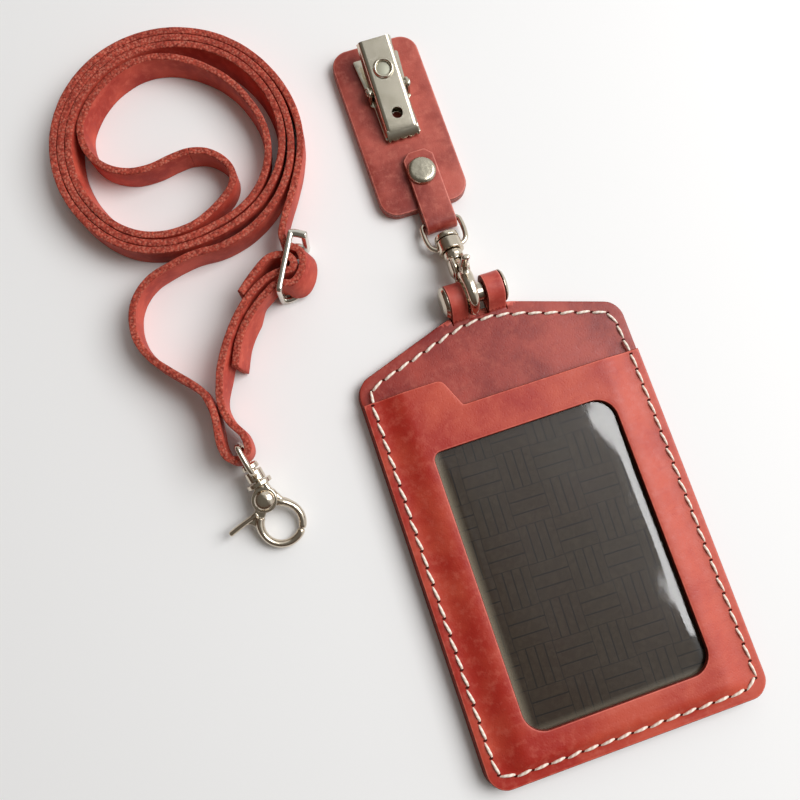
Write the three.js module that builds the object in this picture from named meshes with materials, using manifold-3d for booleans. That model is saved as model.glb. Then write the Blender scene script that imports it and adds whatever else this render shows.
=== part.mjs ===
// A leather card holder with a badge clip hung on it and a neck lanyard coiled beside it.
// Millimetres. The holder lies on its back: +X is to its right, +Y is its hanging end and
// +Z points out of its front. The origin is the middle of its flat back face.
import * as THREE from 'three';
import { mergeVertices } from 'three/addons/utils/BufferGeometryUtils.js';
import Module from 'manifold-3d';

const wasm = await Module();
wasm.setup();

// Driving dimensions of the holder.
const LEATHER_THICKNESS = 1.5;
const HALF_WIDTH = 36.2;
const BOTTOM = -56.6;
const SHOULDER = 46.5;
const ARCH_PEAK = 58.5;
const ARCH_RADIUS = 30;
const CORNER_RADIUS = 5.3;
const CARD = { width: 54, height: 85.6, thickness: 0.76, corner: 3.18, bottom: -52.4, z: 3.19 };
const FILM_THICKNESS = 0.3;
const POCKET_RISE = 1.6;
const WINDOW = { left: -23.3, right: 24, bottom: -46, top: 24 };

// The two ears at the top and the screw post through them.
const POST = { y: 59.8, z: 4.8, radius: 2.5, head: 4.2, headThickness: 1.65 };
const EARS = [{ left: -7.2, right: -2.6 }, { left: 2.8, right: 7.7 }];
const EAR_INNER_RADIUS = 2.6;
const SLOT_BOTTOM = 53.8;
const TAIL_END = 49.5;

// The trigger clasp, used twice: ring in the XY plane about the origin, eye towards +Y, pivot along Z.
const RING = { centreRadius: 5.05, wireRadius: 0.92, seam: -44, seamGap: 3.4 };
const PIVOT = { x: -0.8, y: 7.2, cheekRadius: 3.1, cheek: 1.9, slot: 1.0, hole: 1.0, pin: 0.8 };
const COLLAR = { radius: 3, low: 10.2, high: 11.8 };
const EYE = { boss: 2.3, low: 12.1, high: 14.9, wire: 0.65, half: 5.25, corner: 3.5, line: 13.4, bar: 21.8 };

// Where the two clasps lie, with the ring's centre, turn about Z and pitch in degrees.
const HOOK_PLACE = { x: -1.2, y: 60.3, z: 6.05, pitch: -9.77 };
const CLASP_PLACE = { x: -63.7, y: 20, z: 2.36, yaw: 11, pitch: 11.84 };

// The badge pad, its tongue and its rivet.
const PAD = { left: -14.7, right: 9.2, bottom: 86.3, top: 135.2, corner: 4.8 };
const TONGUE = { left: -5.35, right: 2.95, y: 81.8, z: 2.35, radius: 1.6, end: 101.5, clip: 1.9 };
const TAB_RIVET = { x: -1.6, y: 95.5, cap: 3.8, back: 3.4 };

// The bulldog clip on the pad.
const CLIP = { x: -2.8, pinY: 120, pinZ: 5.8, pinRadius: 0.8, lean: 10.5, rivetY: 124.4, holeY: 112.6 };

// The strap, the slider on it and the coil.
const STRAP = { height: 8, thickness: 1.8, turnStep: 8 };
const SLIDER = { x: -43.4, y: 81, turn: 61.7, height: 11.8, rail: 1.6 };
const COIL = { x: -61, y: 122, radius: 30.9, bulge: 0.8, bulgeAngle: -20, pitch: 2.4 };
const RAISED = 1.9;

const COLOURS = {
  leather: 0xb4463c,
  panel: 0x8c3f3b,
  strap: 0xc25a50,
  nickel: 0xb9b0a0,
  brushed: 0xa8a08c,
  card: 0x3c3532,
  film: 0xdfe6ea,
};

// Shared shapes and solids.
function rad(degrees) {
  return degrees * Math.PI / 180;
}

function smoothStep(value, from, to) {
  const t = THREE.MathUtils.clamp((value - from) / (to - from), 0, 1);
  return t * t * (3 - 2 * t);
}

// A closed mesh with shared corners and its faces pointing out.
function closed(geometry) {
  const bare = geometry.clone();
  bare.deleteAttribute('normal');
  bare.deleteAttribute('uv');
  const merged = mergeVertices(bare, 1e-5);
  const points = merged.attributes.position.array;
  const source = merged.index.array;
  const faces = [];
  let volume = 0;
  const corner = (i) => new THREE.Vector3().fromArray(points, 3 * i);
  for (let i = 0; i < source.length; i += 3) {
    const [a, b, c] = [source[i], source[i + 1], source[i + 2]];
    if (a === b || b === c || c === a) continue;
    faces.push(a, b, c);
    volume += corner(a).dot(corner(b).cross(corner(c)));
  }
  if (volume < 0) faces.reverse();
  return { points: new Float32Array(points), faces: new Uint32Array(faces) };
}

function solid(geometry) {
  const { points, faces } = closed(geometry);
  return new wasm.Manifold(new wasm.Mesh({ numProp: 3, vertProperties: points, triVerts: faces }));
}

function geometryOf(body) {
  const mesh = body.getMesh();
  const geometry = new THREE.BufferGeometry();
  geometry.setAttribute('position', new THREE.BufferAttribute(mesh.vertProperties, 3));
  geometry.setIndex(new THREE.BufferAttribute(mesh.triVerts, 1));
  geometry.computeVertexNormals();
  return geometry;
}

function joined(...bodies) {
  return bodies.reduce((sum, body) => sum.add(body));
}

function cut(body, ...tools) {
  return tools.reduce((rest, tool) => rest.subtract(tool), body);
}

// An outline through corners [x, y, radius], each rounded by an arc.
function roundedOutline(corners) {
  const shape = new THREE.Shape();
  corners.forEach(([x, y, radius = 0], i) => {
    const here = new THREE.Vector2(x, y);
    const before = new THREE.Vector2(...corners.at(i - 1)).sub(here).normalize();
    const after = new THREE.Vector2(...corners[(i + 1) % corners.length]).sub(here).normalize();
    const half = Math.acos(THREE.MathUtils.clamp(before.dot(after), -1, 1)) / 2;
    const reach = radius / Math.tan(half);
    const start = here.clone().addScaledVector(before, reach);
    if (i === 0) shape.moveTo(start.x, start.y);
    else shape.lineTo(start.x, start.y);
    if (radius === 0) return;
    const middle = before.clone().add(after).normalize();
    const centre = here.clone().addScaledVector(middle, radius / Math.sin(half));
    const end = here.clone().addScaledVector(after, reach);
    const clockwise = before.cross(after) > 0;
    const from = start.clone().sub(centre).angle();
    const to = end.clone().sub(centre).angle();
    shape.absarc(centre.x, centre.y, radius, from, to, clockwise);
  });
  shape.closePath();
  return shape;
}

function rectangle(left, bottom, right, top, radius = 0) {
  return roundedOutline([
    [left, bottom, radius], [right, bottom, radius], [right, top, radius], [left, top, radius],
  ]);
}

function circle(x, y, radius) {
  const shape = new THREE.Shape();
  shape.absarc(x, y, radius, 0, 2 * Math.PI, false);
  return shape;
}

// A plate with the outline in XY, from z = low to z = high.
function plate(shape, low, high, arcSteps = 4) {
  const options = { depth: high - low, bevelEnabled: false, curveSegments: arcSteps };
  return solid(new THREE.ExtrudeGeometry(shape, options).translate(0, 0, low));
}

function block(left, right, near, far, low, high) {
  return plate(rectangle(left, near, right, far), low, high);
}

// A revolved solid: profile points [radius, height], with the height along the axis named.
function turned(profile, axis, sides) {
  const points = profile.map(([radius, height]) => new THREE.Vector2(radius, height));
  const geometry = new THREE.LatheGeometry(points, sides);
  if (axis === 'x') geometry.rotateZ(-Math.PI / 2);
  if (axis === 'z') geometry.rotateX(Math.PI / 2);
  return solid(geometry);
}

// What is drawn in XY and raised along Z is stood up: X goes to Y, Y to Z and Z to X.
function stoodUp(geometry) {
  return geometry.rotateY(Math.PI / 2).rotateX(Math.PI / 2);
}

function sidePlate(outline, left, right, arcSteps = 4) {
  const options = { depth: right - left, bevelEnabled: false, curveSegments: arcSteps };
  return solid(stoodUp(new THREE.ExtrudeGeometry(outline, options)).translate(left, 0, 0));
}

// Rings of equal count, each convex, skinned one to the next and closed at both ends.
function loft(rings) {
  const count = rings[0].length;
  const points = rings.flat();
  const faces = [];
  for (let ring = 0; ring + 1 < rings.length; ring += 1) {
    for (let i = 0; i < count; i += 1) {
      const a = ring * count + i;
      const b = ring * count + (i + 1) % count;
      faces.push(a, b, b + count, a, b + count, a + count);
    }
  }
  const last = (rings.length - 1) * count;
  for (let i = 1; i + 1 < count; i += 1) {
    faces.push(0, i + 1, i, last, last + i, last + i + 1);
  }
  const geometry = new THREE.BufferGeometry();
  const flat = points.flatMap((point) => [point.x, point.y, point.z]);
  geometry.setAttribute('position', new THREE.Float32BufferAttribute(flat, 3));
  geometry.setIndex(faces);
  return geometry;
}

// A section [side, up] carried along points, square to them, with its up side held to one direction.
function sweep(points, up, section) {
  const rings = points.map((point, i) => {
    const before = points[Math.max(i - 1, 0)];
    const after = points[Math.min(i + 1, points.length - 1)];
    const along = after.clone().sub(before).normalize();
    const side = along.clone().cross(up).normalize();
    const rise = side.clone().cross(along);
    return section.map(([s, u]) => point.clone().addScaledVector(side, s).addScaledVector(rise, u));
  });
  return loft(rings);
}

// A flat band whose side view follows the route in YZ, from x = left to x = right.
function band(route, thickness, left, right) {
  const half = thickness / 2;
  const width = right - left;
  const section = [[-half, 0], [half, 0], [half, width], [-half, width]];
  return solid(stoodUp(sweep(route, Z_AXIS, section)).translate(left, 0, 0));
}

function roundSection(radius, sides) {
  return Array.from({ length: sides }, (_, i) => {
    const angle = (i + 0.5) * 2 * Math.PI / sides;
    return [radius * Math.cos(angle), radius * Math.sin(angle)];
  });
}

function arcPoints(x, y, radius, from, to, steps) {
  return Array.from({ length: steps + 1 }, (_, i) => {
    const angle = rad(from + (to - from) * i / steps);
    return new THREE.Vector3(x + radius * Math.cos(angle), y + radius * Math.sin(angle), 0);
  });
}

function wire(points, up, radius, sides = 8) {
  return solid(sweep(points, up, roundSection(radius, sides)));
}

const Z_AXIS = new THREE.Vector3(0, 0, 1);

const FINISHES = {
  leather: new THREE.MeshStandardMaterial({ color: COLOURS.leather, roughness: 0.6, metalness: 0 }),
  panel: new THREE.MeshStandardMaterial({ color: COLOURS.panel, roughness: 0.65, metalness: 0 }),
  strap: new THREE.MeshStandardMaterial({ color: COLOURS.strap, roughness: 0.7, metalness: 0 }),
  nickel: new THREE.MeshStandardMaterial({ color: COLOURS.nickel, roughness: 0.15, metalness: 1 }),
  brushed: new THREE.MeshStandardMaterial({ color: COLOURS.brushed, roughness: 0.35, metalness: 1 }),
  card: new THREE.MeshStandardMaterial({ color: COLOURS.card, roughness: 0.5, metalness: 0 }),
  film: new THREE.MeshStandardMaterial({
    color: COLOURS.film, roughness: 0.05, metalness: 0, transparent: true, opacity: 0.2,
  }),
};

function piece(name, body, finish) {
  const mesh = new THREE.Mesh(geometryOf(body), FINISHES[finish]);
  mesh.name = name;
  return mesh;
}

// The holder's outer outline: a rectangle with a shallow arch at its hanging end.
function holderOutline() {
  return roundedOutline([
    [-HALF_WIDTH, BOTTOM, CORNER_RADIUS],
    [HALF_WIDTH, BOTTOM, CORNER_RADIUS],
    [HALF_WIDTH, SHOULDER, CORNER_RADIUS],
    [0, ARCH_PEAK, ARCH_RADIUS],
    [-HALF_WIDTH, SHOULDER, CORNER_RADIUS],
  ]);
}

// The back panel lies flat, notched at the top for the folded tail of the ears.
function backPanel() {
  const notch = block(EARS[0].left - 0.3, EARS[1].right + 0.3, TAIL_END - 0.3, ARCH_PEAK + 2, -1, 3);
  return cut(plate(holderOutline(), 0, LEATHER_THICKNESS), notch);
}

// One ear in the YZ plane: it rises off the panel, goes over the post and comes back as a flat tail.
function earStrip(left, right) {
  const middle = EAR_INNER_RADIUS + LEATHER_THICKNESS / 2;
  const level = 1.5 * LEATHER_THICKNESS;
  const tail = 0.5 * LEATHER_THICKNESS;
  const onPost = arcPoints(POST.y, POST.z, middle, 135, -90, 15);
  const rise = new THREE.CubicBezierCurve3(
    new THREE.Vector3(54.2, level, 0),
    new THREE.Vector3(55.6, level, 0),
    new THREE.Vector3(56, 5.74, 0),
    onPost[0],
  ).getPoints(5);
  const route = [
    new THREE.Vector3(SLOT_BOTTOM - 1.8, level, 0),
    ...rise.slice(0, -1),
    ...onPost,
    new THREE.Vector3(56.9, 0.95, 0),
    new THREE.Vector3(55, tail, 0),
    new THREE.Vector3(SLOT_BOTTOM - 1.5, tail, 0),
  ];
  return band(route, LEATHER_THICKNESS, left, right);
}

// The middle panel shows above the pocket. Its ears are one piece with it and fold over the post.
function middlePanel() {
  const body = plate(holderOutline(), LEATHER_THICKNESS, 2 * LEATHER_THICKNESS);
  const beyond = ARCH_PEAK + 2;
  const cutOut = block(EARS[0].left, EARS[1].right, SLOT_BOTTOM, beyond, 0, 5);
  const tail = block(EARS[0].left, EARS[1].right, TAIL_END, SLOT_BOTTOM, 0, LEATHER_THICKNESS + 0.1);
  const ears = EARS.map(({ left, right }) => earStrip(left, right));
  return joined(cut(body, cutOut), tail, ...ears);
}

// The pocket's top edge steps down in a small S at the left of the thumb recess.
function pocketOutline() {
  return roundedOutline([
    [-HALF_WIDTH, BOTTOM, CORNER_RADIUS],
    [HALF_WIDTH, BOTTOM, CORNER_RADIUS],
    [HALF_WIDTH, 33.3],
    [-11.9, 33.4, 0.4],
    [-15.2, 41.05, 1.9],
    [-HALF_WIDTH, 41.05],
  ]);
}

// The front panel is moulded up over the card, open at its top edge and cut out for the window.
function frontPanel() {
  const low = 2 * LEATHER_THICKNESS;
  const rim = low + LEATHER_THICKNESS;
  const top = rim + POCKET_RISE;
  const ring = (side, bottom, z) => {
    const outline = rectangle(-side, bottom, side, 60, 3);
    return outline.getPoints(3).slice(0, -1).map((point) => new THREE.Vector3(point.x, point.y, z));
  };
  const raised = solid(loft([ring(31.5, -54, low + 0.3), ring(31.5, -54, rim), ring(28.5, -52.2, top)]));
  const pocket = plate(pocketOutline(), low, top + 1);
  const body = joined(plate(pocketOutline(), low, rim), raised).intersect(pocket);
  const hollow = plate(rectangle(-28.5, -52.7, 28.5, 60, 2), low - 1, low + POCKET_RISE);
  const window = roundedOutline([
    [WINDOW.left, WINDOW.bottom, CORNER_RADIUS],
    [WINDOW.right, WINDOW.bottom, CORNER_RADIUS],
    [WINDOW.right, WINDOW.top, CORNER_RADIUS],
    [WINDOW.left, WINDOW.top, 2.1],
  ]);
  return cut(body, hollow, plate(window, low - 1, top + 2));
}

// The clear film is glued behind the window, under the raised part.
function windowFilm() {
  const top = 2 * LEATHER_THICKNESS + POCKET_RISE;
  return plate(rectangle(-26.6, -49, 27.3, 27.5, 1.5), top - FILM_THICKNESS, top);
}

function idCard() {
  const half = CARD.width / 2;
  const outline = rectangle(-half, CARD.bottom, half, CARD.bottom + CARD.height, CARD.corner);
  return plate(outline, CARD.z, CARD.z + CARD.thickness);
}

// The screw post through the ears: a headed tube, and a slotted screw into its right end.
function loopPost() {
  const left = EARS[0].left - 0.05;
  const right = EARS[1].right - 0.2;
  const { radius, head, headThickness } = POST;
  const profile = [
    [0, left - headThickness], [2.2, left - 0.93 * headThickness], [3.6, left - 0.6 * headThickness],
    [head, left - 0.3], [head, left], [radius, left], [radius, right], [1.8, right], [1.8, -4], [0, -4],
  ];
  return turned(profile, 'x', 24).translate([0, POST.y, POST.z]);
}

function loopScrew() {
  const left = EARS[1].right + 0.05;
  const { head, headThickness } = POST;
  const profile = [
    [0, -3.4], [1.65, -3.4], [1.65, left], [head, left], [head, left + 0.3],
    [3.6, left + 0.6 * headThickness], [2.2, left + 0.93 * headThickness], [0, left + headThickness],
  ];
  const slot = block(left + 0.9, left + 3, -5, 5, -0.45, 0.45);
  return cut(turned(profile, 'x', 24), slot).translate([0, POST.y, POST.z]);
}

// The clasp's body: two cheeks round the pivot, the fixed half of the ring and the collar.
function claspBody() {
  const { x, y, cheekRadius, cheek, slot, hole } = PIVOT;
  const cheeks = plate(circle(x, y, cheekRadius), -cheek, cheek, 10);
  const shoulder = roundedOutline([
    [-2.3, 10.4], [2.3, 10.4], [2.7, 7.4, 1], [3.8, 5.9, 0.4], [4.7, 4.2, 0.6], [2.9, 2.7, 0.5],
    [1.6, 3.8, 1.5], [-2.6, 5.2],
  ]);
  const neck = turned([[0, 9.9], [2, 9.9], [2.4, COLLAR.low + 0.2], [0, COLLAR.low + 0.2]], 'y', 20);
  const collar = turned([
    [0, COLLAR.low], [COLLAR.radius - 0.4, COLLAR.low], [COLLAR.radius, COLLAR.low + 0.4],
    [COLLAR.radius, COLLAR.high - 0.4], [COLLAR.radius - 0.4, COLLAR.high], [0, COLLAR.high],
  ], 'y', 20);
  const claw = wire(
    arcPoints(0, 0, RING.centreRadius, RING.seam + RING.seamGap / 2, 66, 12),
    Z_AXIS,
    RING.wireRadius,
  );
  const socket = turned([[0, COLLAR.low + 0.2], [1.1, COLLAR.low + 0.2], [1.1, 13], [0, 13]], 'y', 16);
  const gateRoom = roundedOutline([[x, y], [-8, 9.1], [-8, 0.4], [1, 0.4]]);
  return cut(
    joined(cheeks, plate(shoulder, -1.3, 1.3), neck, collar, claw),
    plate(circle(x, y, 2.5), -slot, slot, 10),
    plate(gateRoom, -slot, slot),
    plate(circle(x, y, hole), -4, 4, 8),
    socket,
  );
}

// The gate: the moving half of the ring, its thumb lever and its root round the pivot pin.
function claspGate() {
  const { x, y, hole } = PIVOT;
  const half = 0.8;
  const arc = wire(
    arcPoints(0, 0, RING.centreRadius, 127, 360 + RING.seam - RING.seamGap / 2, 20),
    Z_AXIS,
    RING.wireRadius,
  );
  const root = plate(circle(x, y, 2.2), -half, half, 10);
  const web = plate(roundedOutline([[-2.9, 6.9], [0.2, 5.3], [-2.3, 3.5], [-5, 4.1, 0.4]]), -half, half);
  const lever = plate(roundedOutline([
    [-4.2, 5.4, 0.3], [-12.2, 4.1, 0.45], [-12.1, 3.05, 0.45], [-4.5, 3.6, 0.3],
  ]), -1.25, 1.25);
  const springSeat = plate(circle(x, y, 1.8), -0.05, 2, 8);
  return cut(joined(arc, root, web, lever), springSeat, plate(circle(x, y, hole), -4, 4, 8));
}

// A rivet with a ball head on each cheek.
function claspRivet() {
  const { x, y, cheek, pin } = PIVOT;
  const seat = cheek + 0.05;
  const dome = [[2.6, seat], [2.6, seat + 0.15], [2.2, seat + 0.5], [1.3, seat + 0.8], [0, seat + 0.9]];
  const under = dome.map(([radius, height]) => [radius, -height]).reverse();
  return turned([...under, [pin, -seat], [pin, seat], ...dome], 'z', 20).translate([x, y, 0]);
}

function helix(radius, low, high, turns, steps) {
  return Array.from({ length: steps + 1 }, (_, i) => {
    const angle = 2 * Math.PI * turns * i / steps;
    const rise = low + (high - low) * i / steps;
    return new THREE.Vector3(radius * Math.cos(angle), radius * Math.sin(angle), rise);
  });
}

// The gate's small torsion spring, in the seat sunk in the gate's root.
function claspSpring() {
  return wire(helix(1.4, 0.13, 0.68, 1.5, 24), Z_AXIS, 0.13, 5).translate([PIVOT.x, PIVOT.y, 0]);
}

// The swivel post stands in the collar and holds the eye by its mushroom head.
function claspPost() {
  const foot = COLLAR.low + 0.35;
  return turned([
    [0, foot], [0.9, foot], [0.9, 15.2], [2.2, 15.2], [2.4, 15.5], [2.2, 16.1], [1.3, 16.6], [0, 16.7],
  ], 'y', 16);
}

// The eye: a wire loop in the YZ plane with its bar at the far end and a bored boss on the post.
function claspEye() {
  const { boss, low, high, wire: thick, half, corner, line, bar } = EYE;
  const small = 1.1;
  const side = (sign) => [
    new THREE.Vector3(1.7 * sign, line, 0),
    ...arcPoints(sign * (half - corner), line + corner, corner, -90, -90 + 90 * sign, 6),
    ...arcPoints(sign * (half - small), bar - small, small, 90 - 90 * sign, 90, 4),
  ];
  const route = [...side(-1), ...side(1).reverse()];
  const loop = solid(sweep(route, Z_AXIS, roundSection(thick, 8)).rotateY(Math.PI / 2));
  const bossBody = turned([
    [0, low], [boss - 0.3, low], [boss, low + 0.3], [boss, high - 0.3], [boss - 0.3, high], [0, high],
  ], 'y', 16);
  const bore = turned([[0, low - 1], [1.2, low - 1], [1.2, high + 1], [0, high + 1]], 'y', 16);
  return cut(joined(loop, bossBody), bore);
}

function clasp(prefix) {
  const group = new THREE.Group();
  group.add(
    piece(`${prefix}_body`, claspBody(), 'nickel'),
    piece(`${prefix}_gate`, claspGate(), 'nickel'),
    piece(`${prefix}_rivet`, claspRivet(), 'nickel'),
    piece(`${prefix}_spring`, claspSpring(), 'nickel'),
    piece(`${prefix}_post`, claspPost(), 'nickel'),
    piece(`${prefix}_eye`, claspEye(), 'nickel'),
  );
  return group;
}

// The hanger's clasp grips the post with its ring on edge. It dips so that its eye meets the pad.
function hangerClasp() {
  const upright = clasp('hook');
  upright.rotation.y = rad(90);
  const dipped = new THREE.Group();
  dipped.add(upright);
  dipped.rotation.x = rad(HOOK_PLACE.pitch);
  dipped.position.set(HOOK_PLACE.x, HOOK_PLACE.y, HOOK_PLACE.z);
  return dipped;
}

// The lanyard's clasp lies flat on the tip of its ring, with its eye raised in the strap's fold.
function lanyardClasp() {
  const raised = clasp('clasp');
  raised.rotation.x = rad(CLASP_PLACE.pitch);
  const placed = new THREE.Group();
  placed.add(raised);
  placed.rotation.z = rad(CLASP_PLACE.yaw);
  placed.position.set(CLASP_PLACE.x, CLASP_PLACE.y, CLASP_PLACE.z);
  return placed;
}

// The pad's back layer goes on as a tongue: down, round the eye's bar and back over the front.
function padBack() {
  const { left, right, bottom, top, corner } = PAD;
  const half = LEATHER_THICKNESS / 2;
  const layer = plate(rectangle(left, bottom, right, top, corner), 0, LEATHER_THICKNESS);
  const flapLevel = TONGUE.z + TONGUE.radius;
  const turn = arcPoints(TONGUE.y, TONGUE.z, TONGUE.radius, 270, 90, 10);
  const route = [
    new THREE.Vector3(bottom + corner, half, 0),
    ...turn,
    new THREE.Vector3(TONGUE.end - TONGUE.clip, flapLevel, 0),
  ];
  const tongue = band(route, LEATHER_THICKNESS, TONGUE.left, TONGUE.right);
  const tip = plate(roundedOutline([
    [TONGUE.left, TONGUE.end - 4], [TONGUE.right, TONGUE.end - 4],
    [TONGUE.right, TONGUE.end - TONGUE.clip], [TONGUE.right - TONGUE.clip, TONGUE.end],
    [TONGUE.left + TONGUE.clip, TONGUE.end], [TONGUE.left, TONGUE.end - TONGUE.clip],
  ]), flapLevel - half, flapLevel + half);
  const hole = plate(circle(TAB_RIVET.x, TAB_RIVET.y, 1.4), -1, 8, 8);
  const counterbore = plate(circle(TAB_RIVET.x, TAB_RIVET.y, TAB_RIVET.back + 0.2), -1, 1, 8);
  const clipSeat = plate(circle(CLIP.x, CLIP.rivetY, 2.4), -1, 0.8, 8);
  const clipHole = plate(circle(CLIP.x, CLIP.rivetY, 1.2), -1, 8, 6);
  return cut(joined(layer, tongue, tip), hole, counterbore, clipSeat, clipHole);
}

// The pad's front layer.
function padFront() {
  const { left, right, bottom, top, corner } = PAD;
  const layer = plate(rectangle(left, bottom, right, top, corner), LEATHER_THICKNESS, 2 * LEATHER_THICKNESS);
  const hole = plate(circle(TAB_RIVET.x, TAB_RIVET.y, 1.4), -1, 8, 8);
  const clipHole = plate(circle(CLIP.x, CLIP.rivetY, 1.2), -1, 8, 6);
  return cut(layer, hole, clipHole);
}

// A double-cap rivet holds the tongue to both layers.
function tabRivet() {
  const seat = TONGUE.z + TONGUE.radius + LEATHER_THICKNESS / 2 + 0.02;
  const { cap, back } = TAB_RIVET;
  return turned([
    [0, 0.05], [back, 0.05], [back, 0.75], [1.25, 0.95], [1.25, seat], [cap, seat], [cap, seat + 0.35],
    [cap - 0.35, seat + 0.85], [cap - 1.2, seat + 1.3], [0, seat + 1.6],
  ], 'z', 24).translate([TAB_RIVET.x, TAB_RIVET.y, 0]);
}

// The clip's fixed half: a flared plate with two ears that carry the pin.
function clipBase() {
  const floor = 2 * LEATHER_THICKNESS;
  const sheet = plate(roundedOutline([
    [-4.9, 106.2, 0.4], [4.9, 106.2, 0.4], [4.9, 116.6], [5.7, 117.3], [5.7, 122.7],
    [6.4, 131, 0.5], [-6.4, 131, 0.5], [-5.7, 122.7], [-5.7, 117.3], [-4.9, 116.6],
  ]), floor, floor + 0.8);
  const earOutline = roundedOutline([
    [CLIP.pinY - 2.6, floor], [CLIP.pinY + 2.6, floor],
    [CLIP.pinY + 1.8, CLIP.pinZ + 1.8, 1.7], [CLIP.pinY - 1.8, CLIP.pinZ + 1.8, 1.7],
  ]);
  const hole = clipPinHole().translate([0, CLIP.pinY, CLIP.pinZ]);
  const rivetHole = plate(circle(0, CLIP.rivetY, 1.2), 0, 8, 6);
  const jawHole = plate(circle(0, CLIP.holeY, 1.35), 0, 8, 6);
  const body = joined(sheet, sidePlate(earOutline, -5.7, -5), sidePlate(earOutline, 5, 5.7));
  return cut(body, hole, rivetHole, jawHole).translate([CLIP.x, 0, 0]);
}

function clipPinHole() {
  return turned([[0, -9], [1.1, -9], [1.1, 9], [0, 9]], 'x', 12);
}

// The clip's lever: a channel that narrows to both ends, with a toothed lip, an eyelet and a hole.
// It is drawn level about the pin and leans where it is placed.
function clipLever() {
  const under = 1.55;
  const thick = 0.7;
  const half = 4.4;
  const tip = -12.8;
  const end = 12.7;
  const top = plate(rectangle(-half, tip, half, end, 0.6), under, under + thick);
  const flank = roundedOutline([
    [tip + 0.3, under + 0.3], [tip + 0.6, under - 0.9, 0.4], [-1.9, -1.6, 1.5], [1.9, -1.6, 1.5],
    [end - 0.6, under - 0.8, 0.4], [end - 0.3, under + 0.3],
  ]);
  const lip = band([
    new THREE.Vector3(tip + 0.6, under + thick / 2, 0),
    new THREE.Vector3(tip - 0.15, under + 0.05, 0),
    new THREE.Vector3(tip - 0.45, under - 0.9, 0),
  ], thick, -half, half);
  const teeth = [-3.3, -1.1, 1.1, 3.3].map((x) => {
    const notch = new THREE.Shape();
    notch.moveTo(x - 0.6, under - 2);
    notch.lineTo(x + 0.6, under - 2);
    notch.lineTo(x, under - 0.3);
    const options = { depth: 2, bevelEnabled: false };
    return solid(new THREE.ExtrudeGeometry(notch, options).rotateX(Math.PI / 2).translate(0, tip + 0.6, 0));
  });
  const eyelet = turned([
    [1.75, under - 0.01], [2.5, under - 0.01], [2.5, under + thick + 0.5], [2.1, under + thick + 0.75],
    [1.75, under + thick + 0.5], [1.75, under - 0.01],
  ], 'z', 20).translate([0, 4.5, 0]);
  const eyeletHole = plate(circle(0, 4.5, 1.76), -1, 4, 10);
  const jawHole = plate(circle(0, -7.5, 1.35), -1, 4, 6);
  const sides = [sidePlate(flank, -half, -half + thick, 3), sidePlate(flank, half - thick, half, 3)];
  const channel = joined(top, ...sides, lip);
  return joined(cut(channel, eyeletHole, jawHole, clipPinHole(), ...teeth), eyelet);
}

// The pin through the ears and the lever's sides, with a small head at each end.
function clipPin() {
  const reach = 5.75;
  const profile = [
    [0, -reach - 0.5], [1.2, -reach - 0.4], [1.4, -reach], [CLIP.pinRadius, -reach],
    [CLIP.pinRadius, reach], [1.4, reach], [1.2, reach + 0.4], [0, reach + 0.5],
  ];
  return turned(profile, 'x', 12).translate([CLIP.x, CLIP.pinY, CLIP.pinZ]);
}

// The clip's torsion spring: its coil is on the pin, one arm on the plate and one under the lever's tail.
function clipSpring() {
  const radius = 1.2;
  const wireRadius = 0.22;
  const plateArm = new THREE.Vector3(6.2, -1.65, -2.9);
  const leverArm = new THREE.Vector3(6.2, 2.15, 2.9);
  const coil = helix(radius, -2.85, 2.85, 5.5, 66).map(({ x, y, z }) => new THREE.Vector3(y, -x, z));
  const points = [plateArm, ...coil, leverArm];
  const geometry = stoodUp(sweep(points, Z_AXIS, roundSection(wireRadius, 6)));
  return solid(geometry).translate([CLIP.x, CLIP.pinY, CLIP.pinZ]);
}

// The rivet that holds the clip to the pad, its head on the clip's plate.
function clipRivet() {
  const seat = 2 * LEATHER_THICKNESS + 0.82;
  return turned([
    [0, 0.05], [2.1, 0.05], [2.1, 0.55], [1.05, 0.75], [1.05, seat], [2.3, seat], [2.1, seat + 0.5],
    [1.2, seat + 0.9], [0, seat + 1],
  ], 'z', 16).translate([CLIP.x, CLIP.rivetY, 0]);
}

function badgeClip() {
  const lever = piece('clip_lever', clipLever(), 'brushed');
  lever.position.set(CLIP.x, CLIP.pinY, CLIP.pinZ);
  lever.rotation.x = rad(CLIP.lean);
  const group = new THREE.Group();
  group.add(
    piece('clip_base', clipBase(), 'brushed'),
    lever,
    piece('clip_pin', clipPin(), 'brushed'),
    piece('clip_spring', clipSpring(), 'brushed'),
    piece('clip_rivet', clipRivet(), 'brushed'),
  );
  return group;
}

// The slider: two rails joined by a middle rod and by a slanting bar at each end.
function sliderFrame() {
  const { height, rail } = SLIDER;
  const halfBar = 0.75;
  const endBar = (x) => {
    const start = new THREE.Vector2(x, -0.2);
    const end = new THREE.Vector2(x - 1.6, -4.2);
    const along = end.clone().sub(start).normalize();
    const across = new THREE.Vector2(-along.y, along.x).multiplyScalar(halfBar);
    const corners = [
      start.clone().add(across), start.clone().sub(across), end.clone().sub(across), end.clone().add(across),
    ];
    return plate(roundedOutline(corners.map((corner) => [corner.x, corner.y, 0.7])), 0, height, 3);
  };
  const strip = rectangle(-7.9, -1.15, 7.9, 0.35, 0.7);
  const rod = plate(circle(0, -0.3, 0.8), 0.2, height - 0.2, 5);
  return joined(
    plate(strip, 0, rail, 3),
    plate(strip, height - rail, height, 3),
    rod,
    endBar(7.4),
    endBar(-7.4),
  );
}

function slider() {
  const mesh = piece('slider_frame', sliderFrame(), 'nickel');
  mesh.position.set(SLIDER.x, SLIDER.y, 0);
  mesh.rotation.z = rad(SLIDER.turn);
  return mesh;
}

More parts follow.
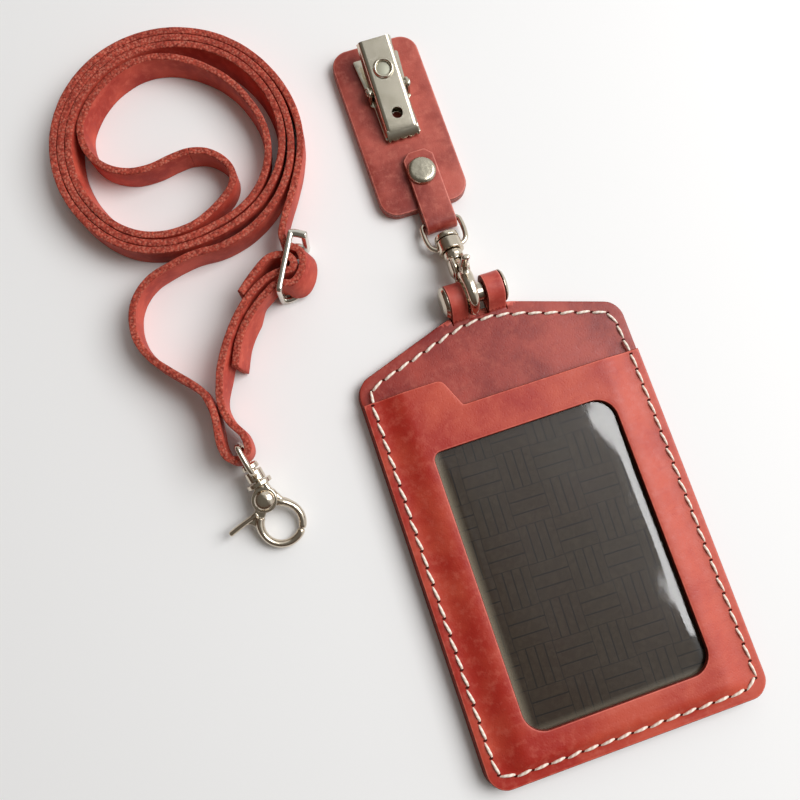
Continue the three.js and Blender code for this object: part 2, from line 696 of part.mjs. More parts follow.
// A slider place [s, t] in the holder's frame: s along the slider, t to its right.
function atSlider([s, t]) {
  const along = new THREE.Vector2(Math.cos(rad(SLIDER.turn)), Math.sin(rad(SLIDER.turn)));
  const x = SLIDER.x + s * along.x + t * along.y;
  const y = SLIDER.y + s * along.y - t * along.x;
  return [x, y];
}

// A place in the coil: the angle in degrees and the strand's lane, counted in pitches from outside.
function inCoil(angle, lane) {
  const outer = COIL.radius + COIL.bulge * Math.cos(rad(angle - COIL.bulgeAngle));
  const radius = outer - COIL.pitch * lane;
  return [COIL.x + radius * Math.cos(rad(angle)), COIL.y + radius * Math.sin(rad(angle))];
}

// Both strands move in two lanes a turn, mostly at the bottom, where they cross under.
function laneShift(angle) {
  const turn = (start) => (
    1.7 * smoothStep(angle, start + 225, start + 285) + 0.3 * smoothStep(angle, start + 340, start + 385)
  );
  return turn(0) + turn(360);
}

function outerStrandLane(angle) {
  return -0.65 * (1 - smoothStep(angle, -30, 30)) + laneShift(angle);
}

// The inner strand also sags inwards over its last turn on the right.
function innerStrandLane(angle) {
  const entry = -0.1 + 1.1 * smoothStep(angle, -80, 30);
  const sag = 0.95 * smoothStep(angle, 300, 380) * (1 - smoothStep(angle, 400, 460));
  return entry + laneShift(angle) + sag;
}

function coilStretch(lane, from, to, step) {
  const count = Math.round(Math.abs(to - from) / step);
  return Array.from({ length: count + 1 }, (_, i) => {
    const angle = from + (to - from) * i / count;
    return [...inCoil(angle, lane(angle)), 0];
  });
}

// The strap's whole route as [x, y, lift], from one cut end to the other.
function strapRoute() {
  const tail = [[-28, -6.9, 0.6], [-21.4, -7.2, 1.1], [-15.7, -6.1, 1.5], [-11, -4.1, RAISED]];
  const slack = [
    [-8.4, -2.7], [-6.2, -1.3], [-5.2, 0.8], [-4.7, 3.3], [-2.4, 5.3], [1.2, 5.5], [4, 3.3], [4.6, 0.9],
    [5.6, -1], [7.3, -1.95], [9.5, -2.1],
  ];
  const rise = [[14, -2, 1.6], [20.8, -1.6, 0.8]];
  const innerCurl = [
    [-63.3, 98.7], [-58.4, 99.9], [-53.6, 102.3], [-50, 105.4], [-48.7, 108.9], [-49.9, 112.8],
    [-53.4, 116.3], [-57.8, 117.7], [-62.4, 117.4], [-67.7, 116.5], [-73.4, 116.9], [-78.3, 119.4],
    [-81.2, 122.9], [-82.2, 127.5], [-81.5, 132.2],
  ];
  const leftLeg = [
    [-71.3, 89.6, 0], [-76.5, 87.9, 0], [-80.3, 85, 0], [-82.5, 81.7, 0], [-83.7, 77.3, 0],
    [-83.4, 72.3, 0.1], [-81.2, 67.5, 0.5], [-77.6, 63, 1], [-74.3, 59.2, 1.5], [-71.9, 55.8, 2],
    [-70.9, 52.2, 2.3], [-70.8, 48.6, RAISED],
  ];
  const fold = [[-71.5, 45.2], [-72, 41.2], [-71, 38.4], [-68.4, 37.3], [-65.7, 38.6], [-65.5, 42.5]];
  const rightLeg = [
    [-67.9, 47.3, RAISED], [-68.4, 52.3, RAISED], [-67, 57.6, 2.4], [-64.9, 62.4, 2.2],
  ];
  const intoSlider = [
    [-20.4, -9.7], [-14.6, -8.5], [-9.3, -6.4], [-5.6, -4.1], [-3.1, -1.6], [-2.05, 0.6], [-1.1, 2.2],
    [0.7, 2.3], [1.95, 0.9], [1.95, -1.4], [0.5, -4.1], [-4.4, -6.9], [-9.6, -9],
  ];
  const onSlider = (list) => list.map(([s, t, lift = RAISED]) => [...atSlider([s, t]), lift]);
  return [
    ...onSlider(tail),
    ...onSlider(slack),
    ...onSlider(rise),
    ...coilStretch(outerStrandLane, -28, 608, 12),
    ...innerCurl.map(([x, y]) => [x, y, 0]),
    ...coilStretch(innerStrandLane, 506, -96, 12),
    ...leftLeg,
    ...fold.map(([x, y]) => [x, y, RAISED]),
    ...rightLeg,
    ...onSlider(intoSlider),
  ];
}

// The smooth curve through the route, with a point wherever it has turned by one step.
function strapPoints() {
  const places = strapRoute().map(([x, y, lift]) => new THREE.Vector3(x, y, lift));
  const fine = new THREE.CatmullRomCurve3(places, false, 'centripetal').getPoints(places.length * 12);
  const points = [fine[0]];
  let heading = fine[1].clone().sub(fine[0]);
  for (let i = 1; i + 1 < fine.length; i += 1) {
    const next = fine[i + 1].clone().sub(fine[i]);
    const turn = THREE.MathUtils.radToDeg(heading.angleTo(next));
    const travelled = fine[i].distanceTo(points.at(-1));
    if (turn < STRAP.turnStep && travelled < 7) continue;
    points.push(fine[i]);
    heading = next;
  }
  points.push(fine.at(-1));
  return points;
}

function strapLength(points) {
  return points.slice(1).reduce((sum, point, i) => sum + point.distanceTo(points[i]), 0);
}

function distanceToSegment(point, start, end) {
  const line = new THREE.Line3(start, end);
  return line.closestPointToPoint(point, true, new THREE.Vector3()).distanceTo(point);
}

// The least gap between the strap's faces, over points that aren't neighbours along it.
function leastGap(points) {
  const flat = points.map((point) => new THREE.Vector3(point.x, point.y, 0));
  const along = [0];
  flat.slice(1).forEach((point, i) => along.push(along[i] + point.distanceTo(flat[i])));
  let least = { gap: Infinity };
  for (let i = 0; i < flat.length; i += 1) {
    for (let j = 0; j + 1 < flat.length; j += 1) {
      const near = Math.min(Math.abs(along[i] - along[j]), Math.abs(along[i] - along[j + 1]));
      if (near < 3 * STRAP.thickness) continue;
      const gap = distanceToSegment(flat[i], flat[j], flat[j + 1]) - STRAP.thickness;
      if (gap < least.gap) least = { gap, at: flat[i] };
    }
  }
  return least;
}

// The strap stands on its edge along its whole route.
function lanyardStrap() {
  const points = strapPoints();
  const { gap, at } = leastGap(points);
  const place = `(${at.x.toFixed(1)}, ${at.y.toFixed(1)})`;
  console.log(`strap length ${strapLength(points).toFixed(1)} mm in ${points.length - 1} steps`);
  console.log(`strap least gap to itself ${gap.toFixed(2)} mm at ${place}`);
  const half = STRAP.thickness / 2;
  const section = [[-half, 0], [half, 0], [half, STRAP.height], [-half, STRAP.height]];
  return solid(sweep(points, Z_AXIS, section));
}

const part = new THREE.Group();
part.add(
  piece('back_panel', backPanel(), 'leather'),
  piece('middle_panel', middlePanel(), 'panel'),
  piece('front_panel', frontPanel(), 'leather'),
  piece('window_film', windowFilm(), 'film'),
  piece('id_card', idCard(), 'card'),
  piece('loop_post', loopPost(), 'nickel'),
  piece('loop_screw', loopScrew(), 'nickel'),
  hangerClasp(),
  piece('pad_back', padBack(), 'leather'),
  piece('pad_front', padFront(), 'leather'),
  piece('tab_rivet', tabRivet(), 'nickel'),
  badgeClip(),
  piece('lanyard_strap', lanyardStrap(), 'strap'),
  slider(),
  lanyardClasp(),
);

export default part;
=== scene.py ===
# A red-brown leather card holder with its badge clip, and the neck lanyard coiled beside it.
import math

import bmesh
import bpy
import numpy as np
from mathutils import Matrix, Vector, geometry, noise


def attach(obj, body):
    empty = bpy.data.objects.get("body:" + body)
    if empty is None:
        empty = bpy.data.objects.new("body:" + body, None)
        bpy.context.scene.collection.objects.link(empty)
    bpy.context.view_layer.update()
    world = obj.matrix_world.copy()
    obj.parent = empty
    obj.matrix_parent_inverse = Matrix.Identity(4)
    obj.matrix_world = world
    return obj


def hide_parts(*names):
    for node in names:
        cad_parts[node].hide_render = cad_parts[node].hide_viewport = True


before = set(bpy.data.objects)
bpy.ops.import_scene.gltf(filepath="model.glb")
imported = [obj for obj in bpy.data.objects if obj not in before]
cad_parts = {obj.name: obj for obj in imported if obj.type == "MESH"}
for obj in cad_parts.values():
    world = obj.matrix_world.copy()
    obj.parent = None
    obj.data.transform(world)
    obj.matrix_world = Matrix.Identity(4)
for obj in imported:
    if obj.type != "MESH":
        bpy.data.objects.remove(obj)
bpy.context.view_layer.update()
MM = 0.001


# The camera
# A phone held 0.2 m above the table, turned so that the holder leans in its frame.
def in_scene(name, data):
    """An object made of the data, in the scene."""
    made = bpy.data.objects.new(name, data)
    bpy.context.collection.objects.link(made)
    return made


camera_data = bpy.data.cameras.new("phone")
camera_data.lens = 36.9
camera_data.sensor_width = 36
camera_data.clip_start = 0.01
camera = in_scene("phone", camera_data)
camera_right = Vector((0.94696216, -0.31946731, 0.03468874))
camera_down = Vector((-0.31003557, -0.93668221, -0.16280166))
camera_ahead = Vector((0.08450214, 0.14341227, -0.98604884))
camera_turn = Matrix((camera_right, -camera_down, -camera_ahead)).transposed().to_4x4()
camera.matrix_world = Matrix.Translation((-0.04385, 0.01012, 0.2071)) @ camera_turn
bpy.context.scene.camera = camera
bpy.context.scene.view_settings.view_transform = "Standard"


# The neck strap
# One strip of 1.8 mm leather, 8 mm wide, standing on its cut edge. It is wound twice round as a
# pair of strands, curls back inside the coil, and folds round the lanyard clasp's eye.
def smooth_path(places, spacing):
    """Points a spacing apart on the smooth curve through the places."""
    places = [Vector(place) for place in places]
    padded = [2 * places[0] - places[1], *places, 2 * places[-1] - places[-2]]
    fine = []
    for before, start, end, after in zip(padded, padded[1:], padded[2:], padded[3:]):
        first = (start - before).length ** 0.5
        middle = (end - start).length ** 0.5
        last = (after - end).length ** 0.5
        leave = (start - before) / first - (end - before) / (first + middle) + (end - start) / middle
        reach = (end - start) / middle - (after - start) / (middle + last) + (after - end) / last
        for step in range(24):
            t = step / 24
            fine.append(
                start * (2 * t**3 - 3 * t**2 + 1) + leave * middle * (t**3 - 2 * t**2 + t)
                + end * (3 * t**2 - 2 * t**3) + reach * middle * (t**3 - t**2)
            )
    fine.append(places[-1])
    fine = np.array(fine)
    along = np.concatenate([[0], np.cumsum(np.linalg.norm(np.diff(fine, axis=0), axis=1))])
    count = max(2, round(along[-1] / spacing))
    stations = np.linspace(0, along[-1], count + 1)
    return [Vector([np.interp(s, along, fine[:, axis]) for axis in range(3)]) for s in stations]


def path_length(points):
    return sum((b - a).length for a, b in zip(points, points[1:]))


def smooth_step(value, start, end):
    t = min(max((value - start) / (end - start), 0), 1)
    return t * t * (3 - 2 * t)


def around(turn, radius, x=0, y=0):
    """The place on a circle round (x, y), at a turn in radians from its right."""
    return x + radius * math.cos(turn), y + radius * math.sin(turn)


def arc(x, y, radius, start, end, count):
    """Places on the circle round (x, y), from one turn in degrees to another."""
    return [around(math.radians(start + (end - start) * k / count), radius, x, y) for k in range(count + 1)]


COIL_X = -61
COIL_Y = 122
COIL_RADIUS = 30.9
COIL_BULGE = 0.8
COIL_PITCH = 2.4
SLIDER_X = -43.4
SLIDER_Y = 81
SLIDER_TURN = math.radians(61.7)
STRAP_LIFT = 1.9


def in_coil(angle, lane):
    turn = math.radians(angle)
    radius = COIL_RADIUS + COIL_BULGE * math.cos(turn + math.radians(20)) - COIL_PITCH * lane
    return (*around(turn, radius, COIL_X, COIL_Y), 0)


def lane_shift(angle):
    shift = 0
    for start in (0, 360):
        shift += 1.7 * smooth_step(angle, start + 225, start + 285)
        shift += 0.3 * smooth_step(angle, start + 340, start + 385)
    return shift


def outer_lane(angle):
    return -0.65 * (1 - smooth_step(angle, -30, 30)) + lane_shift(angle)


def inner_lane(angle):
    entry = -0.1 + 1.1 * smooth_step(angle, -80, 30)
    sag = 0.95 * smooth_step(angle, 300, 380) * (1 - smooth_step(angle, 400, 460))
    return entry + lane_shift(angle) + sag


def at_slider(s, t, lift=STRAP_LIFT):
    """A place s along the slider and t to its right, in the holder's frame."""
    x = SLIDER_X + s * math.cos(SLIDER_TURN) + t * math.sin(SLIDER_TURN)
    y = SLIDER_Y + s * math.sin(SLIDER_TURN) - t * math.cos(SLIDER_TURN)
    return (x, y, lift)


outer_strand = [at_slider(*place) for place in (
    (-28, -6.9, 0.6), (-21.4, -7.2, 1.1), (-15.7, -6.1, 1.5), (-11, -4.1), (-8.4, -2.7), (-6.2, -1.3),
    (-5.2, 0.8), (-4.7, 2.9), (-2.4, 4.3), (1.2, 4.5), (4, 2.9), (4.6, 0.9), (5.6, -1), (7.3, -1.95),
    (9.5, -2.1), (14, -2, 1.6), (20.8, -1.6, 0.8),
)]
outer_strand += [in_coil(angle, outer_lane(angle)) for angle in range(-28, 609, 12)]
inner_curl = [(x, y, 0) for x, y in (
    (-63.3, 98.7), (-58.4, 99.9), (-53.6, 102.3), (-50, 105.4), (-48.7, 108.9), (-49.9, 112.8),
    (-53.4, 116.3), (-57.8, 117.7), (-62.4, 117.4), (-67.7, 116.5), (-73.4, 116.9), (-78.3, 119.4),
    (-81.2, 122.9), (-82.2, 127.5), (-81.5, 132.2),
)]
inner_strand = [in_coil(angle, inner_lane(angle)) for angle in np.linspace(506, -96, 51)]
left_leg = [
    (-71.3, 89.6, 0), (-76.5, 87.9, 0), (-80.3, 85, 0), (-82.5, 81.7, 0), (-83.7, 77.3, 0),
    (-83.4, 72.3, 0.1), (-81.2, 67.5, 0.5), (-77.6, 63, 1), (-74.3, 59.2, 1.5), (-71.9, 55.8, 2),
    (-70.9, 52.2, 2.3), (-70.8, 48.6, STRAP_LIFT),
]
clasp_fold = [(x, y, STRAP_LIFT) for x, y in (
    (-71.2, 45.2), (-71.4, 41.3), (-70.6, 38.5), (-68.4, 37.3), (-65.7, 38.6), (-65.5, 42.5),
    (-67.9, 47.3), (-68.4, 52.3),
)]
right_leg = [(-67, 57.6, 2.4), (-64.9, 62.4, 2.2)]
into_slider = [at_slider(*place) for place in (
    (-20.4, -9.7), (-14.6, -8.5), (-9.3, -6.4), (-5.6, -4.1), (-3.1, -1.6), (-2.05, 0.6), (-1.1, 2.2),
    (0.7, 2.3), (1.95, 0.9), (1.95, -1.4), (0.5, -4.1), (-4.4, -6.9), (-9.6, -9),
)]
strap_line = smooth_path(
    outer_strand + inner_curl + inner_strand + left_leg + clasp_fold + right_leg + into_slider, 0.5
)
curl_middle = min(range(len(strap_line)), key=lambda i: (strap_line[i] - Vector(inner_curl[7])).length)


def mesh_piece(name, points, faces, finishes, face_finish=None, smooth=True):
    """A piece from points in millimetres, its faces turned outwards."""
    mesh = bpy.data.meshes.new(name)
    mesh.from_pydata([Vector(point) * MM for point in points], [], faces)
    for finish in finishes:
        mesh.materials.append(finish)
    if face_finish is not None:
        mesh.polygons.foreach_set("material_index", face_finish)
    shell = bmesh.new()
    shell.from_mesh(mesh)
    bmesh.ops.recalc_face_normals(shell, faces=shell.faces)
    shell.to_mesh(mesh)
    shell.free()
    mesh.polygons.foreach_set("use_smooth", [smooth] * len(mesh.polygons))
    return in_scene(name, mesh)


def wear(piece, body, slot, *nodes):
    """The piece rides on its body and stands for its CAD nodes; slot is not used."""
    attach(piece, body)
    if nodes:
        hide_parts(*nodes)
    return piece


def feed(tree, node, inputs):
    """Gives a node's inputs their numbers and colours, or links them to other nodes' outputs."""
    for name, value in dict(inputs).items():
        if isinstance(value, bpy.types.NodeSocket):
            tree.links.new(value, node.inputs[name])
        else:
            node.inputs[name].default_value = value


class Nodes:
    """A node tree, with short ways to add to it."""

    def __init__(self, tree):
        self.tree = tree

    def add(self, kind, inputs=(), **settings):
        made = self.tree.nodes.new(kind)
        for name, value in settings.items():
            setattr(made, name, value)
        feed(self.tree, made, inputs)
        return made

    def maths(self, operation, first, second):
        return self.add("ShaderNodeMath", {0: first, 1: second}, operation=operation).outputs[0]

    def spread(self, value, low, high, to_low=0.0, to_high=1.0):
        """A value between low and high, carried to the range from to_low to to_high."""
        inputs = {"Value": value, "From Min": low, "From Max": high, "To Min": to_low, "To Max": to_high}
        return self.add("ShaderNodeMapRange", inputs).outputs["Result"]

    def blend(self, share, first, second):
        """The first colour, with that share of the second."""
        inputs = {"Factor": share}
        for socket, colour in ((6, first), (7, second)):
            inputs[socket] = colour if isinstance(colour, bpy.types.NodeSocket) else (*colour, 1)
        return self.add("ShaderNodeMix", inputs, data_type="RGBA").outputs[2]


class Finish(Nodes):
    """A material, whose patterns lie in the piece's own coordinates."""

    def __init__(self, name):
        self.material = bpy.data.materials.new(name)
        self.material.use_nodes = True
        super().__init__(self.material.node_tree)
        self.place = self.add("ShaderNodeTexCoord").outputs["Object"]

    def give(self, inputs):
        """Gives the shader its colour and its other values."""
        feed(self.tree, self.tree.nodes["Principled BSDF"], inputs)

    def mapped(self, scale=(1, 1, 1), turn=0, place=None):
        inputs = {"Vector": place or self.place, "Rotation": (0, 0, turn), "Scale": scale}
        return self.add("ShaderNodeMapping", inputs).outputs["Vector"]

    def noise(self, scale, detail, roughness=0.5, place=None):
        inputs = {"Vector": place or self.place, "Scale": scale, "Detail": detail, "Roughness": roughness}
        return self.add("ShaderNodeTexNoise", inputs).outputs["Fac"]

    def cells(self, scale):
        inputs = {"Vector": self.place, "Scale": scale, "Randomness": 1.0}
        return self.add("ShaderNodeTexVoronoi", inputs).outputs["Distance"]

    def axes(self, place=None):
        return self.add("ShaderNodeSeparateXYZ", {0: place or self.place}).outputs

    def attribute(self, name, output):
        return self.add("ShaderNodeAttribute", attribute_name=name).outputs[output]

    def bump(self, height, strength, distance):
        inputs = {"Height": height, "Strength": strength, "Distance": distance}
        self.give({"Normal": self.add("ShaderNodeBump", inputs).outputs["Normal"]})


def waxed_leather(
    name, dark, light, bare, blotch=70, grain=0.2, rough=0.5, rubbed_and_highlit=0.0, light_from_right=0.0, gloss=0.42
):
    """Pull-up leather: wax moves under the skin in clouds. The colour is painted lighter towards the right,
    where the window light falls, and paler at the rim, partly rubbed wear and partly a painted highlight.
    """
    made = Finish(name)
    mottle = made.noise(480, 5, 0.65)
    wrinkle = made.noise(1, 4, place=made.mapped((160, 620, 300), 0.5))
    # Painted light: the colour grows lighter towards +X, as if lit by the window on the right.
    painted_light_to_right = made.spread(made.axes()["X"], -0.035, 0.035, -light_from_right, light_from_right)
    clouds = made.maths("ADD", made.noise(blotch, 3, 0.55), painted_light_to_right)
    colour = made.blend(made.spread(clouds, 0.36, 0.64), dark, light)
    colour = made.blend(made.spread(mottle, 0.5, 0.75, 0, 0.5), colour, bare)
    colour = made.blend(made.spread(wrinkle, 0.6, 0.75, 0, 0.35), colour, dark)
    # Paler at the rim: partly rubbed wear, partly a painted highlight on the rounded edge.
    if rubbed_and_highlit:
        rim_wear_and_highlight = made.spread(made.attribute("rim", "Fac"), 0.5, 0.12, 0, rubbed_and_highlit)
        worn = made.maths("MULTIPLY", rim_wear_and_highlight, made.spread(mottle, 0.35, 0.6, 0.35, 1))
        colour = made.blend(worn, colour, [min(1, channel * 1.35 + 0.05) for channel in bare])
    shine = made.spread(mottle, 0.3, 0.7, rough - 0.08, rough + 0.1)
    made.give({"Base Color": colour, "Roughness": shine, "Specular IOR Level": gloss})
    pores = made.maths("ADD", made.spread(made.cells(1500), 0.0, 0.45), made.noise(3200, 3, 0.6))
    made.bump(made.maths("ADD", wrinkle, pores), grain, 0.00012)
    return made.material


def cut_leather(name, dark, light, flesh, fuzz=0.8, rough=0.85, layers=0.0, grit=1900, gloss=0.3):
    """A cut edge: fibres end there, so it is speckled dark and light and has little shine."""
    made = Finish(name)
    fibre = made.noise(grit, 4, 0.75)
    clump = made.cells(1.1 * grit)
    colour = made.blend(made.spread(fibre, 0.36, 0.62), dark, light)
    colour = made.blend(made.spread(clump, 0.55, 0.2, 0, 0.45), colour, flesh)
    colour = made.blend(made.spread(made.noise(130, 2), 0.35, 0.65, 0, 0.3), colour, dark)
    if layers:
        line = made.noise(1, 2, place=made.mapped((60, 60, 2600)))
        colour = made.blend(made.spread(line, 0.5, 0.7, 0, layers), colour, dark)
    made.give({"Base Color": colour, "Roughness": rough, "Specular IOR Level": gloss})
    made.bump(made.maths("ADD", fibre, clump), fuzz, 0.00022)
    return made.material


strap_face = waxed_leather(
    "strap_face", (0.38, 0.04, 0.026), (0.58, 0.092, 0.056), (0.66, 0.16, 0.11), 120, 0.22, 0.6, gloss=0.22
)
strap_edge = cut_leather(
    "strap_edge", (0.17, 0.015, 0.009), (0.55, 0.085, 0.05), (0.78, 0.29, 0.2), 0.75, grit=1350
)
STRAP_HIGH = 8
HALF_THICK = 0.9


def strap_section():
    """The strap's outline with eased corners, from the lower right corner round to the lower left."""
    corner = 0.3
    ring = []
    for side, up, start in ((1, 0, -90), (1, 1, 0), (-1, 1, 90), (-1, 0, 180)):
        centre = (side * (HALF_THICK - corner), STRAP_HIGH - corner if up else corner)
        ring += arc(*centre, corner, start, start + 90, 3)
    crown = [(0.35, STRAP_HIGH + 0.04), (-0.35, STRAP_HIGH + 0.04)]
    belly = [(-0.35, 0), (0.35, 0)]
    return ring[:8] + crown + ring[8:] + belly


def loop_splay(place):
    """How far the strap's foot stands out, round the slider's right side and in the legs below it."""
    x = place.x - SLIDER_X
    y = place.y - SLIDER_Y
    along = x * math.cos(SLIDER_TURN) + y * math.sin(SLIDER_TURN)
    out = x * math.sin(SLIDER_TURN) - y * math.cos(SLIDER_TURN)
    loop = 2.5 * smooth_step(out, 1.5, 4.2) * (1 - smooth_step(abs(along), 5, 8))
    legs = 1.6 * smooth_step(place.y, 50, 60) * smooth_step(place.x, -71, -68.5)
    return loop + legs * (1 - smooth_step(along, -15, -10)) * smooth_step(90 - place.y, 0, 5)


def coil_lean(place):
    """How far a turn's top edge leans out, against the turn outside it."""
    out = Vector((place.x - COIL_X, place.y - COIL_Y, 0))
    bulge = COIL_BULGE * math.cos(math.atan2(out.y, out.x) + math.radians(20))
    lane = (COIL_RADIUS + bulge - out.length) / COIL_PITCH
    lean = 0.45 * min(max(lane, 0), 2) * (1 - smooth_step(lane, 2.6, 4.4))
    return out.normalized() * lean


def tube_faces(rings, sides):
    """The faces of a tube of so many rings, closed at both ends."""
    faces = []
    for ring in range(rings - 1):
        for k in range(sides):
            a = ring * sides + k
            b = ring * sides + (k + 1) % sides
            faces.append((a, b, b + sides, a + sides))
    return [*faces, tuple(range(sides)), tuple(range((rings - 1) * sides, rings * sides))]


def strap_piece(name, line):
    section = strap_section()
    points = []
    for i, place in enumerate(line):
        before = line[max(i - 1, 0)]
        after = line[min(i + 1, len(line) - 1)]
        along = Vector((after.x - before.x, after.y - before.y, 0)).normalized()
        side = Vector((along.y, -along.x, 0))
        splay = loop_splay(place)
        lean = coil_lean(place)
        for across, up in section:
            share = up / STRAP_HIGH
            point = place + side * (across + splay * (1 - share)) + lean * share + Vector((0, 0, up))
            rough = noise.noise(point * 1.7) * 0.16
            if up > STRAP_HIGH - 0.1:
                point.z += rough - 0.05
            if up < 0.1:
                point.z += abs(rough) * 0.5
            point += side * (noise.noise(point * 0.35) * 0.05)
            points.append(point)
    middles = [(here[1] + after[1]) / 2 for here, after in zip(section, section[1:] + section[:1])]
    cut_edges = [int(middle > STRAP_HIGH - 0.25 or middle < 0.25) for middle in middles]
    face_finish = cut_edges * (len(line) - 1) + [1, 1]
    faces = tube_faces(len(line), len(section))
    return mesh_piece(name, points, faces, [strap_face, strap_edge], face_finish)


outer_line = strap_line[:curl_middle + 1]
inner_line = strap_line[curl_middle:]
strap_outer = strap_piece("strap_outer", outer_line)
strap_inner = strap_piece("strap_inner", inner_line)
for strand in (strap_outer, strap_inner):
    wear(strand, "lanyard", "leather_strap", "lanyard_strap")


# The table and the light
# A pale table top, a tall window to the right, and a room that is dim overhead, where the
# photographer leans over, brown low down on the left and pale on the right.
table_finish = Finish("table_top")
table_finish.give({"Base Color": (0.9, 0.9, 0.9, 1), "Roughness": 0.75, "Specular IOR Level": 0.15})
TABLE_HALF = 6
table = in_scene("table_top", bpy.data.meshes.new("table_top"))
table_corners = [(x * TABLE_HALF, y * TABLE_HALF, 0) for x, y in ((-1, -1), (1, -1), (1, 1), (-1, 1))]
table.data.from_pydata(table_corners, [], [(0, 1, 2, 3)])
table.data.materials.append(table_finish.material)

lamp = bpy.data.lights.new("window", "AREA")
lamp.shape = "RECTANGLE"
lamp.size = 0.5
lamp.size_y = 0.56
lamp.energy = 5.35
lamp.color = (0.99, 0.99, 0.99)
window = in_scene("window", lamp)
window.location = (0.47, 0.05, 0.585)
aim = Vector((-0.02, 0.03, 0)) - window.location
window.rotation_euler = aim.to_track_quat("-Z", "Y").to_euler()

room = bpy.data.worlds.new("room")
bpy.context.scene.world = room
room.use_nodes = True
walls = Nodes(room.node_tree)
direction = walls.add("ShaderNodeTexCoord").outputs["Generated"]
parts = walls.add("ShaderNodeSeparateXYZ", {0: direction}).outputs
rightwards = walls.maths("ADD", parts["X"], walls.maths("MULTIPLY", parts["Y"], 0.4))
wall = walls.blend(walls.spread(parts["Z"], 0.25, 0.8), (0.12, 0.07, 0.048), (0.2, 0.19, 0.17))
sky = walls.blend(walls.spread(rightwards, 0.05, 0.38), wall, (0.95, 0.96, 0.96))
seen = walls.add("ShaderNodeLightPath").outputs["Is Camera Ray"]
surroundings = walls.blend(seen, sky, (0.93, 0.93, 0.93))
feed(room.node_tree, room.node_tree.nodes["Background"], {"Color": surroundings, "Strength": 0.8})


# The holder's back
# The lowest layer of 1.5 mm leather: a rectangle with a shallow arch at its hanging end, let in at
# the top for the tail of the ears. Its edge is sanded and burnished dark with the other layers.
def rounded_outline(corners, spacing=0.9):
    """The outline through corners (x, y, radius), with a point at least every spacing."""
    bends = []
    for i, (x, y, radius) in enumerate(corners):
        here = Vector((x, y))
        before = (Vector(corners[i - 1][:2]) - here).normalized()
        after = (Vector(corners[(i + 1) % len(corners)][:2]) - here).normalized()
        if radius == 0:
            bends.append(here)
            continue
        half = before.angle(after) / 2
        centre = here + (before + after).normalized() * (radius / math.sin(half))
        start = here + before * (radius / math.tan(half)) - centre
        end = here + after * (radius / math.tan(half)) - centre
        sweep = math.atan2(start.x * end.y - start.y * end.x, start.dot(end))
        steps = max(3, math.ceil(abs(sweep) / math.radians(10)))
        bends += [centre + Matrix.Rotation(sweep * k / steps, 2) @ start for k in range(steps + 1)]
    outline = []
    for start, end in zip(bends, bends[1:] + bends[:1]):
        count = max(1, math.ceil((end - start).length / spacing))
        outline += [start.lerp(end, k / count) for k in range(count)]
    return outline


def rectangle(left, low, right, high, radius, spacing=0.9):
    corners = ((left, low), (right, low), (right, high), (left, high))
    return rounded_outline([(*corner, radius) for corner in corners], spacing)


def circle_outline(x, y, radius, count=32):
    return [Vector(around(2 * math.pi * k / count, radius, x, y)) for k in range(count)]


def drawn_in(loop, distance):
    """The loop moved to its left, which is inwards for one drawn anticlockwise."""
    moved = []
    for before, here, after in zip(loop[-1:] + loop[:-1], loop, loop[1:] + loop[:1]):
        first = (here - before).normalized()
        second = (after - here).normalized()
        left = Vector((-first.y - second.y, first.x + second.x)).normalized()
        widen = max(0.5, math.sqrt(max(0, (1 + first.dot(second)) / 2)))
        moved.append(here + left * (distance / widen))
    return moved


def gap_to(points, loops):
    """Each point's distance to the nearest of the loops, and whether it is inside them."""
    points = np.asarray(points, float)
    nearest = np.full(len(points), np.inf)
    inside = np.zeros(len(points), bool)
    for loop in loops:
        start = np.array(loop, float)
        run = np.roll(start, -1, axis=0) - start
        offset = points[:, None] - start
        t = np.clip((offset * run).sum(2) / (run**2).sum(1), 0, 1)
        nearest = np.minimum(nearest, np.linalg.norm(offset - t[..., None] * run, axis=2).min(1))
        over = (start[:, 1] > points[:, 1:]) != (start[:, 1] + run[:, 1] > points[:, 1:])
        safe = np.where(run[:, 1] == 0, 1, run[:, 1])
        crossing = start[:, 0] + (points[:, 1:] - start[:, 1]) / safe * run[:, 0]
        inside ^= (over & (points[:, :1] < crossing)).sum(1) % 2 == 1
    return nearest, inside


